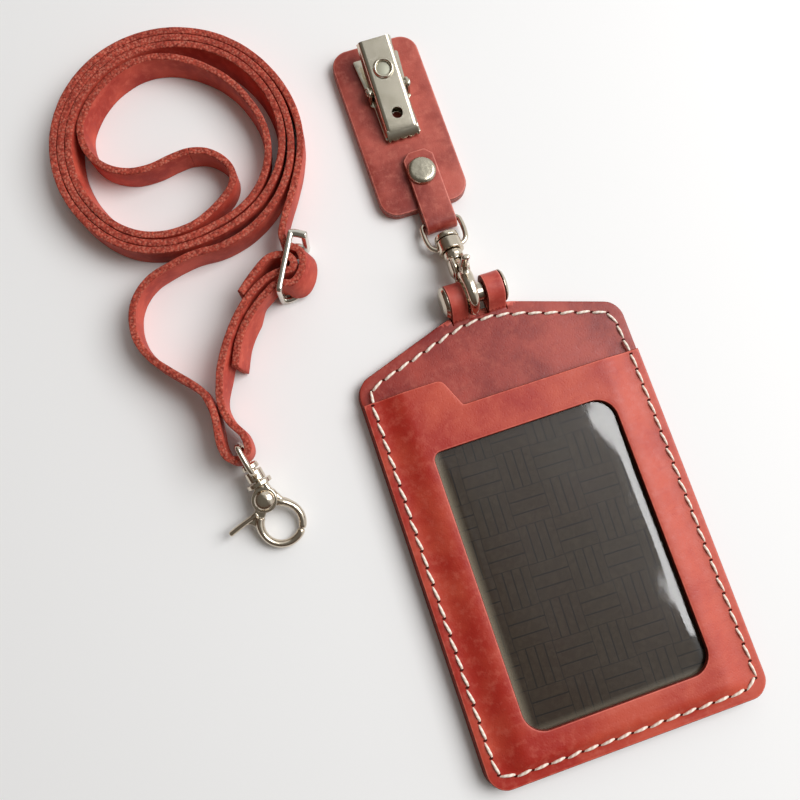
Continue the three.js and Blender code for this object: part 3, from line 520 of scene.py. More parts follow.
def cut_sheet(outline, low, high, rounding=0.3, spacing=1.4, holes=(), rise=None, shape=None):
    """A sheet with eased edges, cut to the outline. rise lifts it, and shape moves every point."""
    loops = [outline] + [hole[::-1] for hole in holes]
    places = []
    borders = []
    rims = []
    for loop in loops:
        for turn in (0, 30, 60, 90):
            first = len(places)
            places += drawn_in(loop, rounding * (1 - math.cos(math.radians(turn))))
            ring = range(first, len(places))
            borders += list(zip(ring, [*ring[1:], first]))
            if turn == 0:
                rims.append(ring)
    box = np.array(outline)
    across = np.arange(box[:, 0].min(), box[:, 0].max(), spacing)
    rows = np.arange(box[:, 1].min(), box[:, 1].max(), spacing)
    grid = np.array([(x + spacing * 0.5 * (row % 2), y) for row, y in enumerate(rows) for x in across])
    far, inside = gap_to(grid, loops)
    places += [Vector(place) for place in grid[inside & (far > rounding + 0.5 * spacing)]]
    flat, _, triangles, origins, _, _ = geometry.delaunay_2d_cdt(places, borders, [], 0, 1e-5)
    where = {origin: i for i, from_places in enumerate(origins) for origin in from_places}
    gaps, _ = gap_to(flat, loops)
    middles = np.array([sum((flat[i] for i in triangle), Vector((0, 0))) / 3 for triangle in triangles])
    _, kept = gap_to(middles, loops)
    triangles = [tuple(triangle) for triangle, keep in zip(triangles, kept) if keep]
    upper = []
    lower = []
    for place, gap in zip(flat, gaps):
        short = max(0, rounding - gap)
        drop = rounding - math.sqrt(max(0, rounding**2 - short**2))
        lift = rise(place.x, place.y) if rise else 0
        upper.append(Vector((place.x, place.y, high + lift - drop)))
        lower.append(Vector((place.x, place.y, low + lift + drop)))
    count = len(flat)
    points = upper + lower
    faces = list(triangles) + [tuple(i + count for i in reversed(triangle)) for triangle in triangles]
    edge_zone = [int(sum(gaps[i] for i in triangle) / 3 < 0.4 * rounding) for triangle in triangles]
    finish = edge_zone + edge_zone
    gap_list = list(gaps) + list(gaps)
    for rim in rims:
        levels = [[where[i] for i in rim]]
        for share in (0.33, 0.67):
            first = len(points)
            points += [upper[i].lerp(lower[i], share) for i in levels[0]]
            levels.append(list(range(first, len(points))))
        levels.append([i + count for i in levels[0]])
        for above, below in zip(levels, levels[1:]):
            for i in range(len(above)):
                j = (i + 1) % len(above)
                faces.append((above[i], above[j], below[j], below[i]))
                finish.append(1)
    gap_list += [0.0] * (len(points) - len(gap_list))
    if shape:
        points = [shape(point) for point in points]
    return points, faces, finish, gap_list


def pressed_in(point):
    """The moulding draws the layers in, so that the sewn edge leans inwards as it rises."""
    draw = 0.12 * max(0, point.z - 0.3)
    x = point.x - math.copysign(draw * smooth_step(abs(point.x), 31.5, 36), point.x)
    y = point.y + draw * smooth_step(-point.y, 52, 56.5)
    return Vector((x, y, point.z))


def put_together(name, shells, finishes, smooth=True):
    """One piece of several closed shells, with each point's distance from its cut edge as rim."""
    points = []
    faces = []
    finish = []
    rim = []
    for shell_points, shell_faces, shell_finish, shell_rim in shells:
        faces += [tuple(i + len(points) for i in face) for face in shell_faces]
        points += shell_points
        finish += shell_finish
        rim += shell_rim
    piece = mesh_piece(name, points, faces, finishes, finish, smooth)
    piece.data.attributes.new("rim", "FLOAT", "POINT").data.foreach_set("value", rim)
    return piece


HALF_WIDTH = 36.2
HOLDER_BOTTOM = -56.6
HOLDER_BEND = 5.3
SHOULDER = 46.5
LAYER = 1.5
EAR_LEFT = (-7.2, -2.6)
EAR_RIGHT = (2.8, 7.7)
lower_corners = [(-HALF_WIDTH, HOLDER_BOTTOM, HOLDER_BEND), (HALF_WIDTH, HOLDER_BOTTOM, HOLDER_BEND)]
holder_corners = lower_corners + [
    (HALF_WIDTH, SHOULDER, HOLDER_BEND), (0, 58.5, 30), (-HALF_WIDTH, SHOULDER, HOLDER_BEND),
]


def notched(outline, left, right, steps):
    """The outline with what lies between left and right at its top end taken away, down to the steps."""
    top = [i for i, place in enumerate(outline) if left < place.x < right and place.y > 40]
    first = top[0]
    last = top[-1]
    level = (outline[first].y + outline[last].y) / 2 - 0.25
    walls = [Vector((right, level)), *[Vector(step) for step in steps], Vector((left, level))]
    return outline[:first] + walls + outline[last + 1:]


burnished_edge = cut_leather(
    "burnished_edge", (0.1, 0.012, 0.008), (0.3, 0.045, 0.03), (0.42, 0.11, 0.075), 0.35, 0.6, 0.6, gloss=0.1
)
back_leather = waxed_leather("back_leather", (0.32, 0.03, 0.02), (0.44, 0.06, 0.042), (0.5, 0.12, 0.085))
notch_left = EAR_LEFT[0] - 0.3
notch_right = EAR_RIGHT[1] + 0.3
back_outline = notched(
    rounded_outline(holder_corners), notch_left, notch_right, [(notch_right, 49.2), (notch_left, 49.2)]
)
back_sheet = cut_sheet(back_outline, 0, LAYER, 0.3, 2.5, shape=pressed_in)
back_panel = put_together("holder_back", [back_sheet], [back_leather, burnished_edge])
wear(back_panel, "holder", "leather", "back_panel")


# The middle panel
# The darker, waxier layer that shows above the pocket. Its two ears are one piece with it: they
# rise off it, go over the screw post and come back underneath as a flat tail.
class Route:
    """A line in the YZ plane that flat leather is bent along."""

    def __init__(self, places):
        line = [Vector((0, y, z)) for y, z in places]
        self.points = np.array([(p.y, p.z) for p in line])
        runs = np.diff(self.points, axis=0)
        self.along = np.concatenate([[0], np.cumsum(np.linalg.norm(runs, axis=1))])
        self.heading = np.gradient(self.points, self.along, axis=0)
        self.heading /= np.linalg.norm(self.heading, axis=1)[:, None]
        self.length = self.along[-1]

    def at(self, x, s, offset):
        """The place s along the route and offset to its left."""
        y, z, ahead, up = [
            np.interp(s, self.along, column)
            for column in (*self.points.T, *self.heading.T)
        ]
        return Vector((x, y - up * offset, z + ahead * offset))


POST_Y = 59.8
POST_Z = 4.8
SLOT_BOTTOM = 53.8
ear_level = 1.5 * LAYER
over_post = arc(POST_Y, POST_Z, 2.6 + LAYER / 2, 135, -90, 40)
ear_rise = geometry.interpolate_bezier(
    Vector((54.2, ear_level)), Vector((55.6, ear_level)), Vector((56, 5.74)), Vector(over_post[0]), 10
)
ear_tail = smooth_path([(0, *over_post[-1]), (0, 56.9, 0.95), (0, 55, 0.76), (0, 53.9, 0.75)], 0.4)
ear_route = Route(
    [(SLOT_BOTTOM, ear_level)] + [tuple(p) for p in ear_rise[:-1]] + over_post
    + [(p.y, p.z) for p in ear_tail[1:]]
)


def over_the_post(point):
    on_ear = EAR_LEFT[0] < point.x < EAR_LEFT[1] + 0.1 or EAR_RIGHT[0] - 0.1 < point.x < EAR_RIGHT[1]
    if point.y <= SLOT_BOTTOM or not on_ear:
        return pressed_in(point)
    return ear_route.at(point.x, point.y - SLOT_BOTTOM, point.z - ear_level)


slit = 0.12
ear_end = SLOT_BOTTOM + ear_route.length
# the left ear narrows under the post, to leave room for the clasp when it hangs down
hidden_side = EAR_LEFT[1] - 0.6
left_out, left_in = EAR_LEFT
right_in, right_out = EAR_RIGHT
middle_outline = notched(rounded_outline(holder_corners), left_out, right_out, [
    (right_out, SLOT_BOTTOM), (right_out - slit, SLOT_BOTTOM), (right_out - slit, ear_end),
    (right_in, ear_end), (right_in, SLOT_BOTTOM + 0.5), (left_in, SLOT_BOTTOM + 0.5),
    (left_in, ear_end - 11.5), (hidden_side, ear_end - 9.5), (hidden_side, ear_end),
    (left_out + slit, ear_end), (left_out + slit, SLOT_BOTTOM), (left_out, SLOT_BOTTOM),
])
middle_outline = rounded_outline([(*place, 0) for place in middle_outline], 0.45)
TAIL_FOOT = 49.5
TAIL_TOP = 54.1
WEB_TOP = 56.2
tail_outline = rounded_outline([
    (left_out, TAIL_FOOT, 0.5), (right_out, TAIL_FOOT, 0.5), (right_out, TAIL_TOP, 0.3),
    (right_in, TAIL_TOP, 0), (right_in, WEB_TOP, 0), (left_in, WEB_TOP, 0), (left_in, TAIL_TOP, 0),
    (left_out, TAIL_TOP, 0.3),
])
# The middle panel is painted a little lighter towards the right, as painted window light.
middle_leather = waxed_leather(
    "middle_leather", (0.22, 0.012, 0.008), (0.4, 0.052, 0.034), (0.5, 0.12, 0.085), 80, 0.18, 0.42,
    light_from_right=0.04,
)
# The ears are paler at their rim, partly wear and partly a painted highlight.
ear_leather = waxed_leather(
    "ear_leather", (0.42, 0.045, 0.032), (0.6, 0.1, 0.07), (0.68, 0.17, 0.12), 110, 0.2, 0.48, rubbed_and_highlit=0.7
)
middle_panel = put_together("holder_middle", [
    cut_sheet(middle_outline, LAYER, 2 * LAYER, 0.25, 0.9, shape=over_the_post),
    cut_sheet(tail_outline, 0, LAYER, 0.25, 2),
], [middle_leather, burnished_edge, ear_leather])
for face in middle_panel.data.polygons:
    if face.material_index == 0 and face.center.y > 54.6 * MM:
        face.material_index = 2
wear(middle_panel, "holder", "leather_dark", "middle_panel")


# The pocket front
# Moulded wet over the card, so it stands 1.6 mm proud inside the stitching. Its mouth steps down in
# a small S, and the window is cut out of it.
POCKET_RISE = 1.6
LEFT_MOUTH = 41.05


def front_rise(x, y):
    side = smooth_step(32.4 - abs(x), 0, 7.5)
    foot = smooth_step(y + 54.2, 0, 3)
    return POCKET_RISE * side * foot


pocket_outline = rounded_outline(lower_corners + [
    (HALF_WIDTH, 33.3, 0), (-11.9, 33.4, 0.6), (-15.2, LEFT_MOUTH, 2.4), (-HALF_WIDTH, LEFT_MOUTH, 0),
])
window_outline = rounded_outline([(-23.3, -46, 5.3), (24, -46, 5.3), (24, 24, 5.3), (-23.3, 24, 2.1)])
# The front is painted lighter towards the right, as painted window light, and paler at its rim, partly wear
# and partly a painted highlight.
front_leather = waxed_leather(
    "front_leather", (0.38, 0.02, 0.01), (0.53, 0.07, 0.035), (0.6, 0.125, 0.08), rough=0.46, rubbed_and_highlit=0.7,
    light_from_right=0.1,
)
front_sheet = cut_sheet(
    pocket_outline, 2 * LAYER, 3 * LAYER, 0.28, 1.1, [window_outline], front_rise, pressed_in
)
front_panel = put_together("pocket_front", [front_sheet], [front_leather, burnished_edge])
wear(front_panel, "holder", "leather", "front_panel")


# The window film and the card
# A clear film glued behind the window, never quite flat, and a dark printed card with a woven
# pattern of bars behind it.
def film_wave(x, y):
    inside = smooth_step(x + 23.3, 0, 6) * smooth_step(24 - x, 0, 2) * smooth_step(35 - abs(y + 11), 0, 8)
    slope = 0.009 - 0.015 * smooth_step(y, 0, 22)
    wave = 0.1 + 0.1 * noise.noise(Vector((x * 0.07, y * 0.06, 3.1))) + slope * max(0, x - 4)
    left_bead = 0.045 * math.exp(-((x + 20.6) / 0.8) ** 2) * smooth_step(35 - abs(y + 11), 0, 5)
    return inside * wave + left_bead


clear = Finish("clear_film")
# Painted reflection: the film's bent left and bottom rims are painted paler and less clear, as light caught
# by the bend.
left_rim_glint = clear.spread(clear.axes()["X"], -20.9 * MM, -22.9 * MM)
foot_rim_glint = clear.spread(clear.axes()["Y"], -44.2 * MM, -45.6 * MM, 0, 0.6)
painted_rim_glint = clear.maths("MAXIMUM", left_rim_glint, foot_rim_glint)
clear.give({
    "Base Color": clear.blend(painted_rim_glint, (0.02, 0.02, 0.02), (0.36, 0.31, 0.22)),
    "Alpha": clear.spread(painted_rim_glint, 0, 1, 0.2, 0.45), "Roughness": 0.05, "IOR": 2.9,
})
clear.bump(clear.noise(90, 3), 0.08, 0.0005)
film_outline = rectangle(-26.6, -49, 27.3, 27.5, 1.5)
film_sheet = cut_sheet(film_outline, 4.3, 4.59, 0.05, 0.8, rise=film_wave)
film = put_together("window_film_clear", [film_sheet], [clear.material, clear.material])
wear(film, "holder", "film", "window_film")

CELL = 0.0093
BAR_ACROSS = CELL / 4
BAR_ALONG = CELL / 3
printed = Finish("card_print")
woven = printed.mapped(turn=math.radians(2))
ruled = [
    printed.spread(printed.maths("PINGPONG", printed.axes(woven)[axis], bar / 2), 0.00022, 0.00008)
    for axis, bar in (("X", BAR_ACROSS), ("Y", BAR_ALONG))
]
checks = printed.add("ShaderNodeTexChecker", {"Vector": woven, "Scale": 1 / CELL}).outputs["Fac"]
rules = printed.add("ShaderNodeMix", {"Factor": checks, 2: ruled[0], 3: ruled[1]}).outputs[0]
card_colour = printed.blend(printed.noise(60, 2), (0.06, 0.027, 0.014), (0.052, 0.037, 0.018))
flecks = printed.spread(printed.noise(900, 4), 0.45, 0.65, 0, 0.55)
card_colour = printed.blend(flecks, card_colour, (0.092, 0.06, 0.034))
card_colour = printed.blend(rules, card_colour, (0.008, 0.004, 0.003))
printed.give({"Base Color": card_colour, "Roughness": 0.5, "Specular IOR Level": 0.2})
card_sheet = cut_sheet(rectangle(-27, -52.4, 27, 33.2, 3.18, 2), 3.19, 3.95, 0.1, 8)
card = put_together("card", [card_sheet], [printed.material, printed.material])
wear(card, "card", "card", "id_card")


# The stitching
# Saddle stitch in waxed cream thread: each stitch leans across the line, thin where it comes up
# and thick where it goes down into the next hole.
STITCH_PITCH = 4.23
stitch_line = rounded_outline([
    (-33.4, -53.4, 3), (33.4, -53.4, 3), (33.4, 44.5, 3.5), (0, 54.7, 30), (-33.4, 44.5, 3.5),
], 0.5)
stitch_loop = [Vector((*place, 0)) for place in stitch_line + stitch_line[:1]]
stitch_length = path_length(stitch_loop)
stitch_count = round(stitch_length / STITCH_PITCH)


def on_leather(place):
    mouth = 33.35 if place.x > -12 else LEFT_MOUTH
    if place.y > mouth:
        return Vector((place.x, place.y, 2 * LAYER))
    return Vector((place.x, place.y, 3 * LAYER + front_rise(place.x, place.y)))


loop_along = np.concatenate([[0], np.cumsum([(b - a).length for a, b in zip(stitch_loop, stitch_loop[1:])])])
loop_xy = np.array([(p.x, p.y) for p in stitch_loop])
awl_holes = []
for k in range(stitch_count):
    s = (k + 0.4) * stitch_length / stitch_count
    awl_holes.append(on_leather(Vector([np.interp(s, loop_along, loop_xy[:, axis]) for axis in (0, 1)])))
seam = bpy.data.meshes.new("stitching")
hole_pairs = [(k, (k + 1) % stitch_count) for k in range(stitch_count)]
seam.from_pydata([hole * MM for hole in awl_holes], hole_pairs, [])
stitching = in_scene("stitching", seam)

thread = Finish("waxed_thread")
lay = thread.mapped(turn=0.7, place=thread.attribute("thread_place", "Vector"))
ply = thread.add("ShaderNodeTexWave", {"Vector": lay, "Scale": 300, "Distortion": 1.5}).outputs["Fac"]
# Painted shade: the thread is darker in the grooves between its plies, where the same ply pattern bumps it
# down.
thread_colour = thread.blend(thread.spread(ply, 0.1, 0.8), (0.8, 0.66, 0.54), (0.97, 0.88, 0.78))
worn = thread.spread(thread.noise(900, 3), 0.55, 0.8, 0, 0.5)
thread.give({"Base Color": thread.blend(worn, thread_colour, (0.7, 0.46, 0.35)), "Roughness": 0.6})
thread.bump(ply, 0.25, 0.0001)
# Painted shade: a near-black disc laid on each awl hole stands for the shade inside the hole.
hole_shade = Finish("awl_hole_shade")
hole_shade_colour = hole_shade.blend(hole_shade.noise(2500, 2), (0.03, 0.004, 0.002), (0.09, 0.014, 0.009))
hole_shade.give({"Base Color": hole_shade_colour, "Roughness": 0.9, "Specular IOR Level": 0.1})

sewing = bpy.data.node_groups.new("saddle_stitch", "GeometryNodeTree")
ports = sewing.interface
ports.new_socket("Seam", in_out="INPUT", socket_type="NodeSocketGeometry")
for port, value in (("Stitch length", 3.5 * MM), ("Thread", 0.76 * MM), ("Lean", 0.16), ("Hole", 0.5 * MM)):
    ports.new_socket(port, in_out="INPUT", socket_type="NodeSocketFloat").default_value = value
ports.new_socket("Sewn", in_out="OUTPUT", socket_type="NodeSocketGeometry")
steps = Nodes(sewing)


def sew(kind, inputs=(), output=0, **settings):
    """A step of the sewing, as what comes out of it."""
    return steps.add(kind, inputs, **settings).outputs[output]


given = steps.add("NodeGroupInput").outputs
ends = steps.add("GeometryNodeInputMeshEdgeVertices").outputs
run = sew("ShaderNodeVectorMath", {0: ends["Position 2"], 1: ends["Position 1"]}, operation="SUBTRACT")
seam_runs = sew("GeometryNodeStoreNamedAttribute", {
    "Geometry": given["Seam"], "Name": "heading", "Value": run,
}, data_type="FLOAT_VECTOR", domain="EDGE")
middles = sew("GeometryNodeMeshToPoints", {"Mesh": seam_runs}, mode="EDGES")
heading = sew("GeometryNodeInputNamedAttribute", {"Name": "heading"}, "Attribute", data_type="FLOAT_VECTOR")
ahead = sew("FunctionNodeAlignRotationToVector", {"Vector": heading}, axis="X", pivot_axis="Z")
scatter = sew("FunctionNodeRandomValue", {2: -0.06, 3: 0.06, "Seed": 7}, 1, data_type="FLOAT")
lean_by = steps.maths("ADD", given["Lean"], scatter)
turn_by = sew("FunctionNodeAxisAngleToRotation", {"Axis": (0, 0, 1), "Angle": lean_by})
leaning = sew("FunctionNodeRotateRotation", {"Rotation": ahead, "Rotate By": turn_by}, rotation_space="LOCAL")


def along_stitch(share, height):
    """A place on the stitch, as a share of its length and of the thread's thickness."""
    x = steps.maths("MULTIPLY", given["Stitch length"], share)
    return sew("ShaderNodeCombineXYZ", {"X": x, "Z": steps.maths("MULTIPLY", given["Thread"], height)})


core = sew("GeometryNodeCurveQuadraticBezier", {
    "Resolution": 7, "Start": along_stitch(-0.5, -0.35), "Middle": along_stitch(0.1, 0.95),
    "End": along_stitch(0.5, -0.15),
})
half_thread = steps.maths("MULTIPLY", given["Thread"], 0.5)
round_thread = sew("GeometryNodeCurvePrimitiveCircle", {"Resolution": 8, "Radius": half_thread})
swell = steps.add("ShaderNodeFloatCurve", {"Value": sew("GeometryNodeSplineParameter", output="Factor")})
for spot, height in ((0.25, 0.85), (0.75, 1.0)):
    swell.mapping.curves[0].points.new(spot, height)
swell.mapping.curves[0].points[0].location = (0, 0.6)
swell.mapping.curves[0].points[-1].location = (1, 0.85)
swell.mapping.update()
stitch = sew("GeometryNodeCurveToMesh", {
    "Curve": core, "Profile Curve": round_thread, "Scale": swell.outputs[0], "Fill Caps": True,
})
stitch = sew("GeometryNodeStoreNamedAttribute", {
    "Geometry": stitch, "Name": "thread_place", "Value": sew("GeometryNodeInputPosition"),
}, data_type="FLOAT_VECTOR", domain="POINT")
# A flat dark disc at each hole: painted shade, not a cut hole.
hole_shade_disc = sew("GeometryNodeMeshCircle", {"Vertices": 12, "Radius": given["Hole"]}, fill_type="NGON")
hole_shade_disc = sew("GeometryNodeTransform", {
    "Geometry": hole_shade_disc, "Translation": (0, 0, 0.04 * MM), "Scale": (1, 0.62, 1),
})
sewn = []
for spots, made, turn, finish in (
    (middles, stitch, leaning, thread), (given["Seam"], hole_shade_disc, (0, 0, 0), hole_shade),
):
    copies = sew("GeometryNodeInstanceOnPoints", {"Points": spots, "Instance": made, "Rotation": turn})
    copies = sew("GeometryNodeRealizeInstances", {"Geometry": copies})
    sewn.append(sew("GeometryNodeSetMaterial", {"Geometry": copies, "Material": finish.material}))
joined = steps.add("GeometryNodeJoinGeometry")
sewing.links.new(sew("GeometryNodeSetShadeSmooth", {0: sewn[0]}), joined.inputs[0])
sewing.links.new(sewn[1], joined.inputs[0])
steps.add("NodeGroupOutput", {0: joined.outputs[0]})


def made_real(piece):
    """The piece with what its modifiers make of it as its plain mesh."""
    evaluated = piece.evaluated_get(bpy.context.evaluated_depsgraph_get())
    mesh = bpy.data.meshes.new_from_object(evaluated)
    piece.modifiers.clear()
    piece.data = mesh
    return piece


stitching.modifiers.new("sewing", "NODES").node_group = sewing
wear(made_real(stitching), "holder", "leather")


# The screw post
# A nickel-plated headed tube through both ears, with a slotted screw in its right end.
def nickel(name, colour=(0.66, 0.61, 0.53), rough=0.13, waves=0.25):
    """Polished plating over a casting, which is never quite even."""
    made = Finish(name)
    tarnish = made.noise(800, 4, 0.6)
    dim = [channel * 0.72 for channel in colour]
    colour = made.blend(made.spread(tarnish, 0.52, 0.74, 0, 0.6), colour, dim)
    shine = made.spread(tarnish, 0.35, 0.7, rough, rough + 0.14)
    made.give({"Metallic": 1.0, "Base Color": colour, "Roughness": shine})
    made.bump(made.noise(380, 2), waves, 0.0003)
    return made.material


def eased(line, ease):
    """An open line of points with its corners rounded off."""
    line = [Vector(place) for place in line]
    soft = [line[0]]
    for before, here, after in zip(line, line[1:], line[2:]):
        start = here + (before - here) * min(0.45, ease / max((before - here).length, 1e-6))
        end = here + (after - here) * min(0.45, ease / max((after - here).length, 1e-6))
        for t in (0, 0.25, 0.5, 0.75, 1):
            soft.append(start * (1 - t) ** 2 + here * (2 * t * (1 - t)) + end * t**2)
    return soft + [line[-1]]


def plain_shell(points, faces, finish=0):
    """A shell with one finish, and no cut edge for the rim's wear and painted highlight to gather at."""
    return points, faces, [finish] * len(faces), [0.0] * len(points)


def turned(profile, sides=40, ease=0.15):
    """A solid turned round Z from a profile (radius, height) that starts and ends on the axis."""
    line = eased([(radius, height) for radius, height in profile], ease)
    points = [Vector((0, 0, line[0].y))]
    for place in line[1:-1]:
        points += [Vector((*around(2 * math.pi * side / sides, place.x), place.y)) for side in range(sides)]
    points.append(Vector((0, 0, line[-1].y)))
    faces = []
    rings = len(line) - 2
    for side in range(sides):
        after = (side + 1) % sides
        faces.append((0, 1 + after, 1 + side))
        for ring in range(rings - 1):
            a = 1 + ring * sides
            faces.append((a + side, a + after, a + sides + after, a + sides + side))
        last = 1 + (rings - 1) * sides
        faces.append((last + side, last + after, len(points) - 1))
    return plain_shell(points, faces)


def moved(shell, placing):
    points, faces, finish, rim = shell
    return [placing @ point for point in points], faces, finish, rim


def turned_piece(name, profile, placing, finish, sides=40, ease=0.15):
    return put_together(name, [moved(turned(profile, sides, ease), placing)], [finish])


def shift(x, y, z):
    return Matrix.Translation((x, y, z))


def spin(degrees, axis):
    return Matrix.Rotation(math.radians(degrees), 4, axis)


def with_cuts(piece, cutters):
    """The piece with the cutters' room taken away."""
    for cutter in cutters:
        modifier = piece.modifiers.new("cut", "BOOLEAN")
        modifier.object = cutter
        modifier.solver = "EXACT"
    made_real(piece)
    for cutter in cutters:
        bpy.data.objects.remove(cutter)
    return piece


def sharp_over(piece, angle):
    piece.data.set_sharp_from_angle(angle=math.radians(angle))
    return piece


def block(low, high):
    """A plain block, used only to cut with."""
    (x0, y0, z0), (x1, y1, z1) = low, high
    points = [(x, y, z) for z in (z0, z1) for x, y in ((x0, y0), (x1, y0), (x1, y1), (x0, y1))]
    return mesh_piece("cutter", points, tube_faces(2, 4), [])


post_nickel = nickel("post_nickel", (0.54, 0.47, 0.38))
HEAD = 4.2
HEAD_THICK = 1.65
SCREW_THICK = 1.15
POST_SIDES = 56
on_post = shift(0, POST_Y, POST_Z) @ spin(90, "Y")
post_left = EAR_LEFT[0] - 0.05
post_right = EAR_RIGHT[1] - 0.2
screw_left = EAR_RIGHT[1] + 0.05
dome = [(3.75, 0.58), (2.4, 0.93), (0, 1)]
post = turned_piece("screw_post", [
    *[(radius, post_left - share * HEAD_THICK) for radius, share in reversed(dome)],
    (HEAD, post_left - 0.2), (HEAD, post_left), (2.5, post_left), (2.5, post_right), (0, post_right),
], on_post, post_nickel, POST_SIDES)
wear(sharp_over(post, 50), "holder", "nickel", "loop_post")
screw = turned_piece("slotted_screw", [
    (0, screw_left - 2), (1.6, screw_left - 2), (1.6, screw_left), (HEAD, screw_left),
    (HEAD, screw_left + 0.2), *[(radius, screw_left + share * SCREW_THICK) for radius, share in dome],
], on_post, post_nickel, POST_SIDES)
slot_room = block((screw_left + 0.6, POST_Y - 5, POST_Z - 0.45), (screw_left + 3, POST_Y + 5, POST_Z + 0.45))
wear(sharp_over(with_cuts(screw, [slot_room]), 50), "holder", "nickel", "loop_screw")


# The two trigger clasps
# Cast in zinc and plated: a ring of a fixed claw and a sprung gate that meet on one seam, a ball
# rivet between two cheeks, and a wire eye that swivels on a post in the collar.
def tube(line, radii, up=Vector((0, 0, 1)), sides=20, flats=None):
    """A bar along a line, with a radius at each point and its height as a share of that."""
    points = []
    for i, place in enumerate(line):
        along = (line[min(i + 1, len(line) - 1)] - line[max(i - 1, 0)]).normalized()
        side = along.cross(up).normalized()
        rise = side.cross(along) * (flats[i] if flats else 1)
        for k in range(sides):
            turn = 2 * math.pi * k / sides
            points.append(place + (side * math.cos(turn) + rise * math.sin(turn)) * radii[i])
    return plain_shell(points, tube_faces(len(line), sides))


def ring_bar(start, end, root, root_high):
    """An arc of the clasp's ring, thick at its root by the rivet and slender at its domed tip."""
    line = []
    radii = []
    flats = []
    for k in range(61):
        turn = math.radians(start + (end - start) * k / 60)
        share = abs(turn - math.radians(root)) / math.radians(abs(end - start))
        near_root = 1 - smooth_step(share, 0.05, 0.3)
        tip = min(1, (1 - share) * abs(math.radians(end - start)) * RING_RADIUS / RING_BAR + 0.02)
        dome = math.sqrt(1 - (1 - tip) ** 2)
        radius = (RING_BAR + 0.18 * near_root) * (0.6 + 0.4 * dome)
        line.append(Vector((math.cos(turn), math.sin(turn), 0)) * (RING_RADIUS + 0.2 * near_root))
        radii.append(radius)
        flats.append((1.12 + (root_high - 1.12) * (1 - smooth_step(share, 0.1, 1))) / RING_BAR)
    return tube(line, radii, flats=flats)


def in_millimetres(name, shells, finish):
    piece = put_together(name, shells, [finish])
    piece.data.transform(Matrix.Scale(1 / MM, 4))
    return piece


def cast(name, shells, finish, size=0.09, settle=6, room=()):
    """Shells melted into one casting, with small fillets where they meet, as a mesh in millimetres."""
    rough = in_millimetres(name, shells, finish)
    melt = rough.modifiers.new("melt", "REMESH")
    melt.mode = "VOXEL"
    melt.voxel_size = size
    ease = rough.modifiers.new("ease", "SMOOTH")
    ease.factor = 0.6
    ease.iterations = settle
    with_cuts(rough, [in_millimetres("room", [shell], finish) for shell in room])
    mesh = rough.data
    bpy.data.objects.remove(rough)
    mesh.materials.clear()
    mesh.materials.append(finish)
    mesh.polygons.foreach_set("use_smooth", [True] * len(mesh.polygons))
    return mesh


def placed(name, mesh, placing, body, slot, *nodes):
    """A copy of a mesh in millimetres, put in its place."""
    copy = mesh.copy()
    copy.name = name
    copy.transform(Matrix.Scale(MM, 4) @ placing)
    return wear(in_scene(name, copy), body, slot, *nodes)


clasp_nickel = nickel("clasp_nickel", (0.66, 0.58, 0.47), 0.09, 0.22)
RING_RADIUS = 5.1
RING_BAR = 1.0
PIVOT = Vector((-0.8, 7.2, 0))


def disc(radius, low, high, ease=0.3):
    return moved(turned([(0, low), (radius, low), (radius, high), (0, high)], 40, ease), shift(*PIVOT))


def lathed(profile, ease=0.2):
    """A part turned round the clasp's own length."""
    return moved(turned(profile, 48, ease), spin(-90, "X"))


neck_outline = rounded_outline([
    (-2.4, 7.6, 0.4), (2.4, 7.6, 0.4), (1.7, 10.8, 0.5), (-1.7, 10.8, 0.5),
], 0.4)
root_outline = rounded_outline([
    (0.2, 4.5, 0.3), (2.1, 4.2, 0.8), (3.7, 4.6, 0.5), (3.0, 6.3, 0.5), (2.4, 8.6, 0.5), (0.4, 8.6, 0.3),
], 0.4)
gate_outline = rounded_outline([
    (-6.0, 0.9, 0.5), (-4.4, 0.4, 0.3), (-3.6, 2.6, 0.8), (-1.6, 4.4, 0.6), (0.6, 5.6, 0.5), (0.2, 8.2, 0.8),
    (-2.6, 8.6, 0.8), (-4.3, 5.7, 0.8), (-6.6, 5.05, 0.4), (-7.8, 4.15, 0.15), (-6.25, 3.1, 1.1),
    (-5.85, 2.0, 1.2),
], 0.3)
lever_line = smooth_path([(-4.2, 4.8, 0), (-6.5, 4.55, 0), (-9.3, 4.2, 0), (-12.3, 3.7, 0)], 0.15)
lever_tip = [min(1, (len(lever_line) - 1 - i) * 0.15 / 0.5 + 0.03) for i in range(len(lever_line))]
lever_radii = [0.74 * (0.35 + 0.65 * math.sqrt(1 - (1 - tip) ** 2)) for tip in lever_tip]
gate_mesh = cast("clasp_gate_cast", [
    ring_bar(136, 315.6, 136, 1.5), disc(2.2, -0.8, 0.8, 0.2), cut_sheet(gate_outline, -0.78, 0.78, 0.3, 0.6),
    tube(lever_line, lever_radii, flats=[1.5] * len(lever_line)),
], clasp_nickel)
eye_side = [(1.6, 13.4), (3.2, 13.75), (4.7, 14.9), (5.25, 16.9), (5.25, 20.2), (5.0, 21.3), (3.9, 21.8)]
eye_line = smooth_path([(x, y, 0) for x, y in eye_side + [(-x, y) for x, y in reversed(eye_side)]], 0.35)
eye_radii = [0.62 + 0.08 * smooth_step(abs(place.x), 3.4, 4.8) for place in eye_line]
eye_wire = moved(tube(eye_line, eye_radii, sides=16), spin(90, "Y"))
spring_line = [Vector((*around(k * 0.3, 1.4), 0.13 + 0.55 * k / 31)) + PIVOT for k in range(32)]
spring_wire = tube(spring_line, [0.13] * 32, sides=8)
ball = [(2.5, 0), (2.52, 0.25), (2.4, 0.65), (2.05, 1.07), (1.5, 1.38), (0.8, 1.55), (0, 1.6)]
hook_at = shift(-1.2, 60.3, 6.05) @ spin(-9.77, "X") @ spin(90, "Y")
clasp_at = shift(-63.7, 20, 2.36) @ spin(11, "Z") @ spin(11.84, "X")
